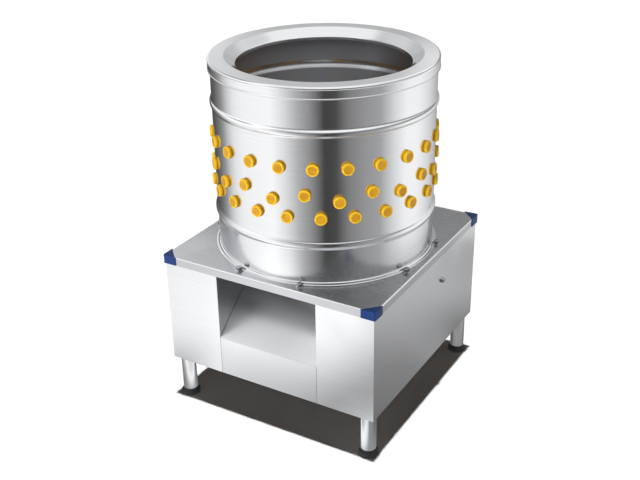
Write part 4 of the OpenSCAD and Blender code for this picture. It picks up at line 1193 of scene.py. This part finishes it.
def floor_paint():
    material, tree = new_material("floor_paint")
    place = add_node(tree, "TexCoord").outputs["Object"]
    flat = add_node(tree, "VectorMath", {"operation": "MULTIPLY"}, i0=place, i1=(1, 1, 0))
    away = add_node(tree, "VectorMath", {"operation": "LENGTH"}, i0=flat.outputs["Vector"])
    far = add_node(
        tree,
        "MapRange",
        EASED,
        Value=away.outputs["Value"],
        From_Min=NEAR_ENDS,
        From_Max=FAR_STARTS,
    ).outputs["Result"]
    shown = add_node(
        tree,
        "Mix",
        COLOURS,
        Factor=far,
        i6=round_ramp(tree, place, NEAR_FLOOR),
        i7=round_ramp(tree, place, FAR_FLOOR),
    ).outputs[2]
    mirrored = add_node(tree, "Emission", Color=shown, Strength=1.0).outputs["Emission"]
    grain = stretched_noise(tree, FLOOR_GRAIN)
    rough = add_node(tree, "MapRange", Value=grain, **reach(*FLOOR_ROUGH)).outputs["Result"]
    paint = add_node(
        tree,
        "BsdfPrincipled",
        Base_Color=FLOOR_WHITE,
        Roughness=rough,
        Specular_IOR_Level=0.0,
    ).outputs["BSDF"]
    in_mirror = add_node(tree, "LightPath").outputs["Is Glossy Ray"]
    both = add_node(tree, "MixShader", i0=in_mirror, i1=paint, i2=mirrored)
    output = add_node(tree, "OutputMaterial")
    tree.links.new(both.outputs["Shader"], output.inputs["Surface"])
    return material


def make_floor():
    bm = bmesh.new()
    bmesh.ops.create_grid(bm, x_segments=1, y_segments=1, size=FLOOR_HALF)
    return stage_piece("studio_floor", bm, floor_paint())


floor = make_floor()
print("floor:", round(2 * FLOOR_HALF), "m across")

# %% [markdown]
# The screen is an open cylinder that faces inward. From the floor up, each part of it starts
# between two heights, where it takes over smoothly from the part below. At its very foot it
# shows what the far floor shows, so that no seam is mirrored.

# %% The screen
SCREEN_RADIUS = 1.02
SCREEN_HEIGHT = 2.6
SCREEN_SEGMENTS = 96
SCREEN_BANDS = (
    (0.03, 0.07, LOW_SCREEN),
    (0.78, 0.83, HIGH_SCREEN),
    (1.05, 1.20, TOP_SCREEN),
    (2.20, 2.60, OPEN_SKY),
)


def screen_light():
    material, tree = new_material("screen_light")
    place = add_node(tree, "TexCoord").outputs["Object"]
    height = add_node(tree, "SeparateXYZ", Vector=place).outputs["Z"]
    shown = round_ramp(tree, place, FAR_FLOOR)
    for low, high, lights in SCREEN_BANDS:
        above = add_node(tree, "MapRange", EASED, Value=height, From_Min=low, From_Max=high)
        shown = add_node(
            tree,
            "Mix",
            COLOURS,
            Factor=above.outputs["Result"],
            i6=shown,
            i7=round_ramp(tree, place, lights),
        ).outputs[2]
    glow = add_node(tree, "Emission", Color=shown, Strength=1.0)
    output = add_node(tree, "OutputMaterial")
    tree.links.new(glow.outputs["Emission"], output.inputs["Surface"])
    return material


def make_screen():
    bm = bmesh.new()
    bmesh.ops.create_cone(
        bm,
        segments=SCREEN_SEGMENTS,
        radius1=SCREEN_RADIUS,
        radius2=SCREEN_RADIUS,
        depth=SCREEN_HEIGHT,
        matrix=Matrix.Translation((0, 0, SCREEN_HEIGHT / 2)),
    )
    bmesh.ops.reverse_faces(bm, faces=bm.faces)
    screen = stage_piece("reflection_screen", bm, screen_light())
    for ray in ("camera", "diffuse", "transmission", "volume_scatter", "shadow"):
        setattr(screen, "visible_" + ray, False)
    return screen


make_screen()
print("screen:", SCREEN_HEIGHT, "m high, in", len(SCREEN_BANDS), "bands")

# %% [markdown]
# The sky is plain white to the camera and in a mirror. What it adds to rubber and plastic is
# much weaker, a little warm, and comes from a ring of the sky, about 10 to 35 degrees up. The
# light path tells the two apart: a ray sees white until it has met something matte.

# %% The sky
SKY_LEVEL = 0.19
SKY_TINT = "#FFE2C6"
# Between each two heights of the sky, as sines, the ring comes in and goes out.
RING_EDGES = ((0.15, 0.30), (0.40, 0.60))


def light_sky():
    world = bpy.data.worlds.new("studio_sky")
    world.use_nodes = True
    tree = world.node_tree
    tree.nodes.clear()
    rays = add_node(tree, "LightPath").outputs
    larger = {"operation": "MAXIMUM"}
    mirror, glass = rays["Is Glossy Ray"], rays["Is Transmission Ray"]
    seen = add_node(tree, "Math", larger, i0=mirror, i1=glass).outputs["Value"]
    seen = add_node(
        tree, "Math", {"operation": "GREATER_THAN"}, i0=seen, i1=rays["Diffuse Depth"]
    ).outputs["Value"]
    seen = add_node(tree, "Math", larger, i0=seen, i1=rays["Is Camera Ray"]).outputs["Value"]
    way = add_node(tree, "TexCoord").outputs["Generated"]
    height = add_node(tree, "SeparateXYZ", Vector=way).outputs["Z"]
    comes_in, goes_out = [
        add_node(tree, "MapRange", EASED, Value=height, From_Min=low, From_Max=high)
        for low, high in RING_EDGES
    ]
    ring = add_node(
        tree,
        "Math",
        {"operation": "SUBTRACT"},
        i0=comes_in.outputs["Result"],
        i1=goes_out.outputs["Result"],
    ).outputs["Value"]
    soft = add_node(tree, "Math", {"operation": "MULTIPLY"}, i0=ring, i1=SKY_LEVEL)
    level = add_node(
        tree, "Mix", {"data_type": "FLOAT"}, Factor=seen, i2=soft.outputs["Value"], i3=1.0
    ).outputs[0]
    tint = add_node(
        tree, "Mix", COLOURS, Factor=seen, i6=linear(SKY_TINT), i7=(1, 1, 1, 1)
    ).outputs[2]
    sky = add_node(tree, "Background", Color=tint, Strength=level)
    output = add_node(tree, "OutputWorld")
    tree.links.new(sky.outputs["Background"], output.inputs["Surface"])
    bpy.context.scene.world = world


light_sky()
print("sky level on rubber and plastic:", SKY_LEVEL)

# %% [markdown]
# Two sun lamps are enough. One hangs straight overhead and lights only the floor, where it draws
# a square shadow with a crisp edge. The other, wide and soft, stands to the left of the camera
# and lights everything but the floor.

# %% The lamps
OVERHEAD = {"energy": 3.4, "spread_degrees": 1.2, "tilt": 0, "azimuth": 0}
BESIDE = {
    "energy": 2.5,
    "spread_degrees": 40,
    "tilt": 58,
    "azimuth": AZIMUTH - math.radians(30),
}


def hang_lamp(name, energy, spread_degrees, tilt, azimuth, state):
    """A sun lamp that lights only the floor, or leaves only it out; no mirror shows it."""
    lamp = bpy.data.objects.new(name, bpy.data.lights.new(name, "SUN"))
    lamp.data.energy = energy
    lamp.data.angle = math.radians(spread_degrees)
    lamp.rotation_euler = (math.radians(tilt), 0, azimuth)
    lamp.visible_glossy = False
    bpy.context.scene.collection.objects.link(lamp)
    group = bpy.data.collections.new(name + "_lights")
    group.objects.link(floor)
    lamp.light_linking.receiver_collection = group
    group.collection_objects[0].light_linking.link_state = state


hang_lamp("overhead_lamp", **OVERHEAD, state="INCLUDE")
hang_lamp("side_lamp", **BESIDE, state="EXCLUDE")
bpy.context.scene.view_settings.view_transform = "Standard"
print("lamps:", len(bpy.data.lights))
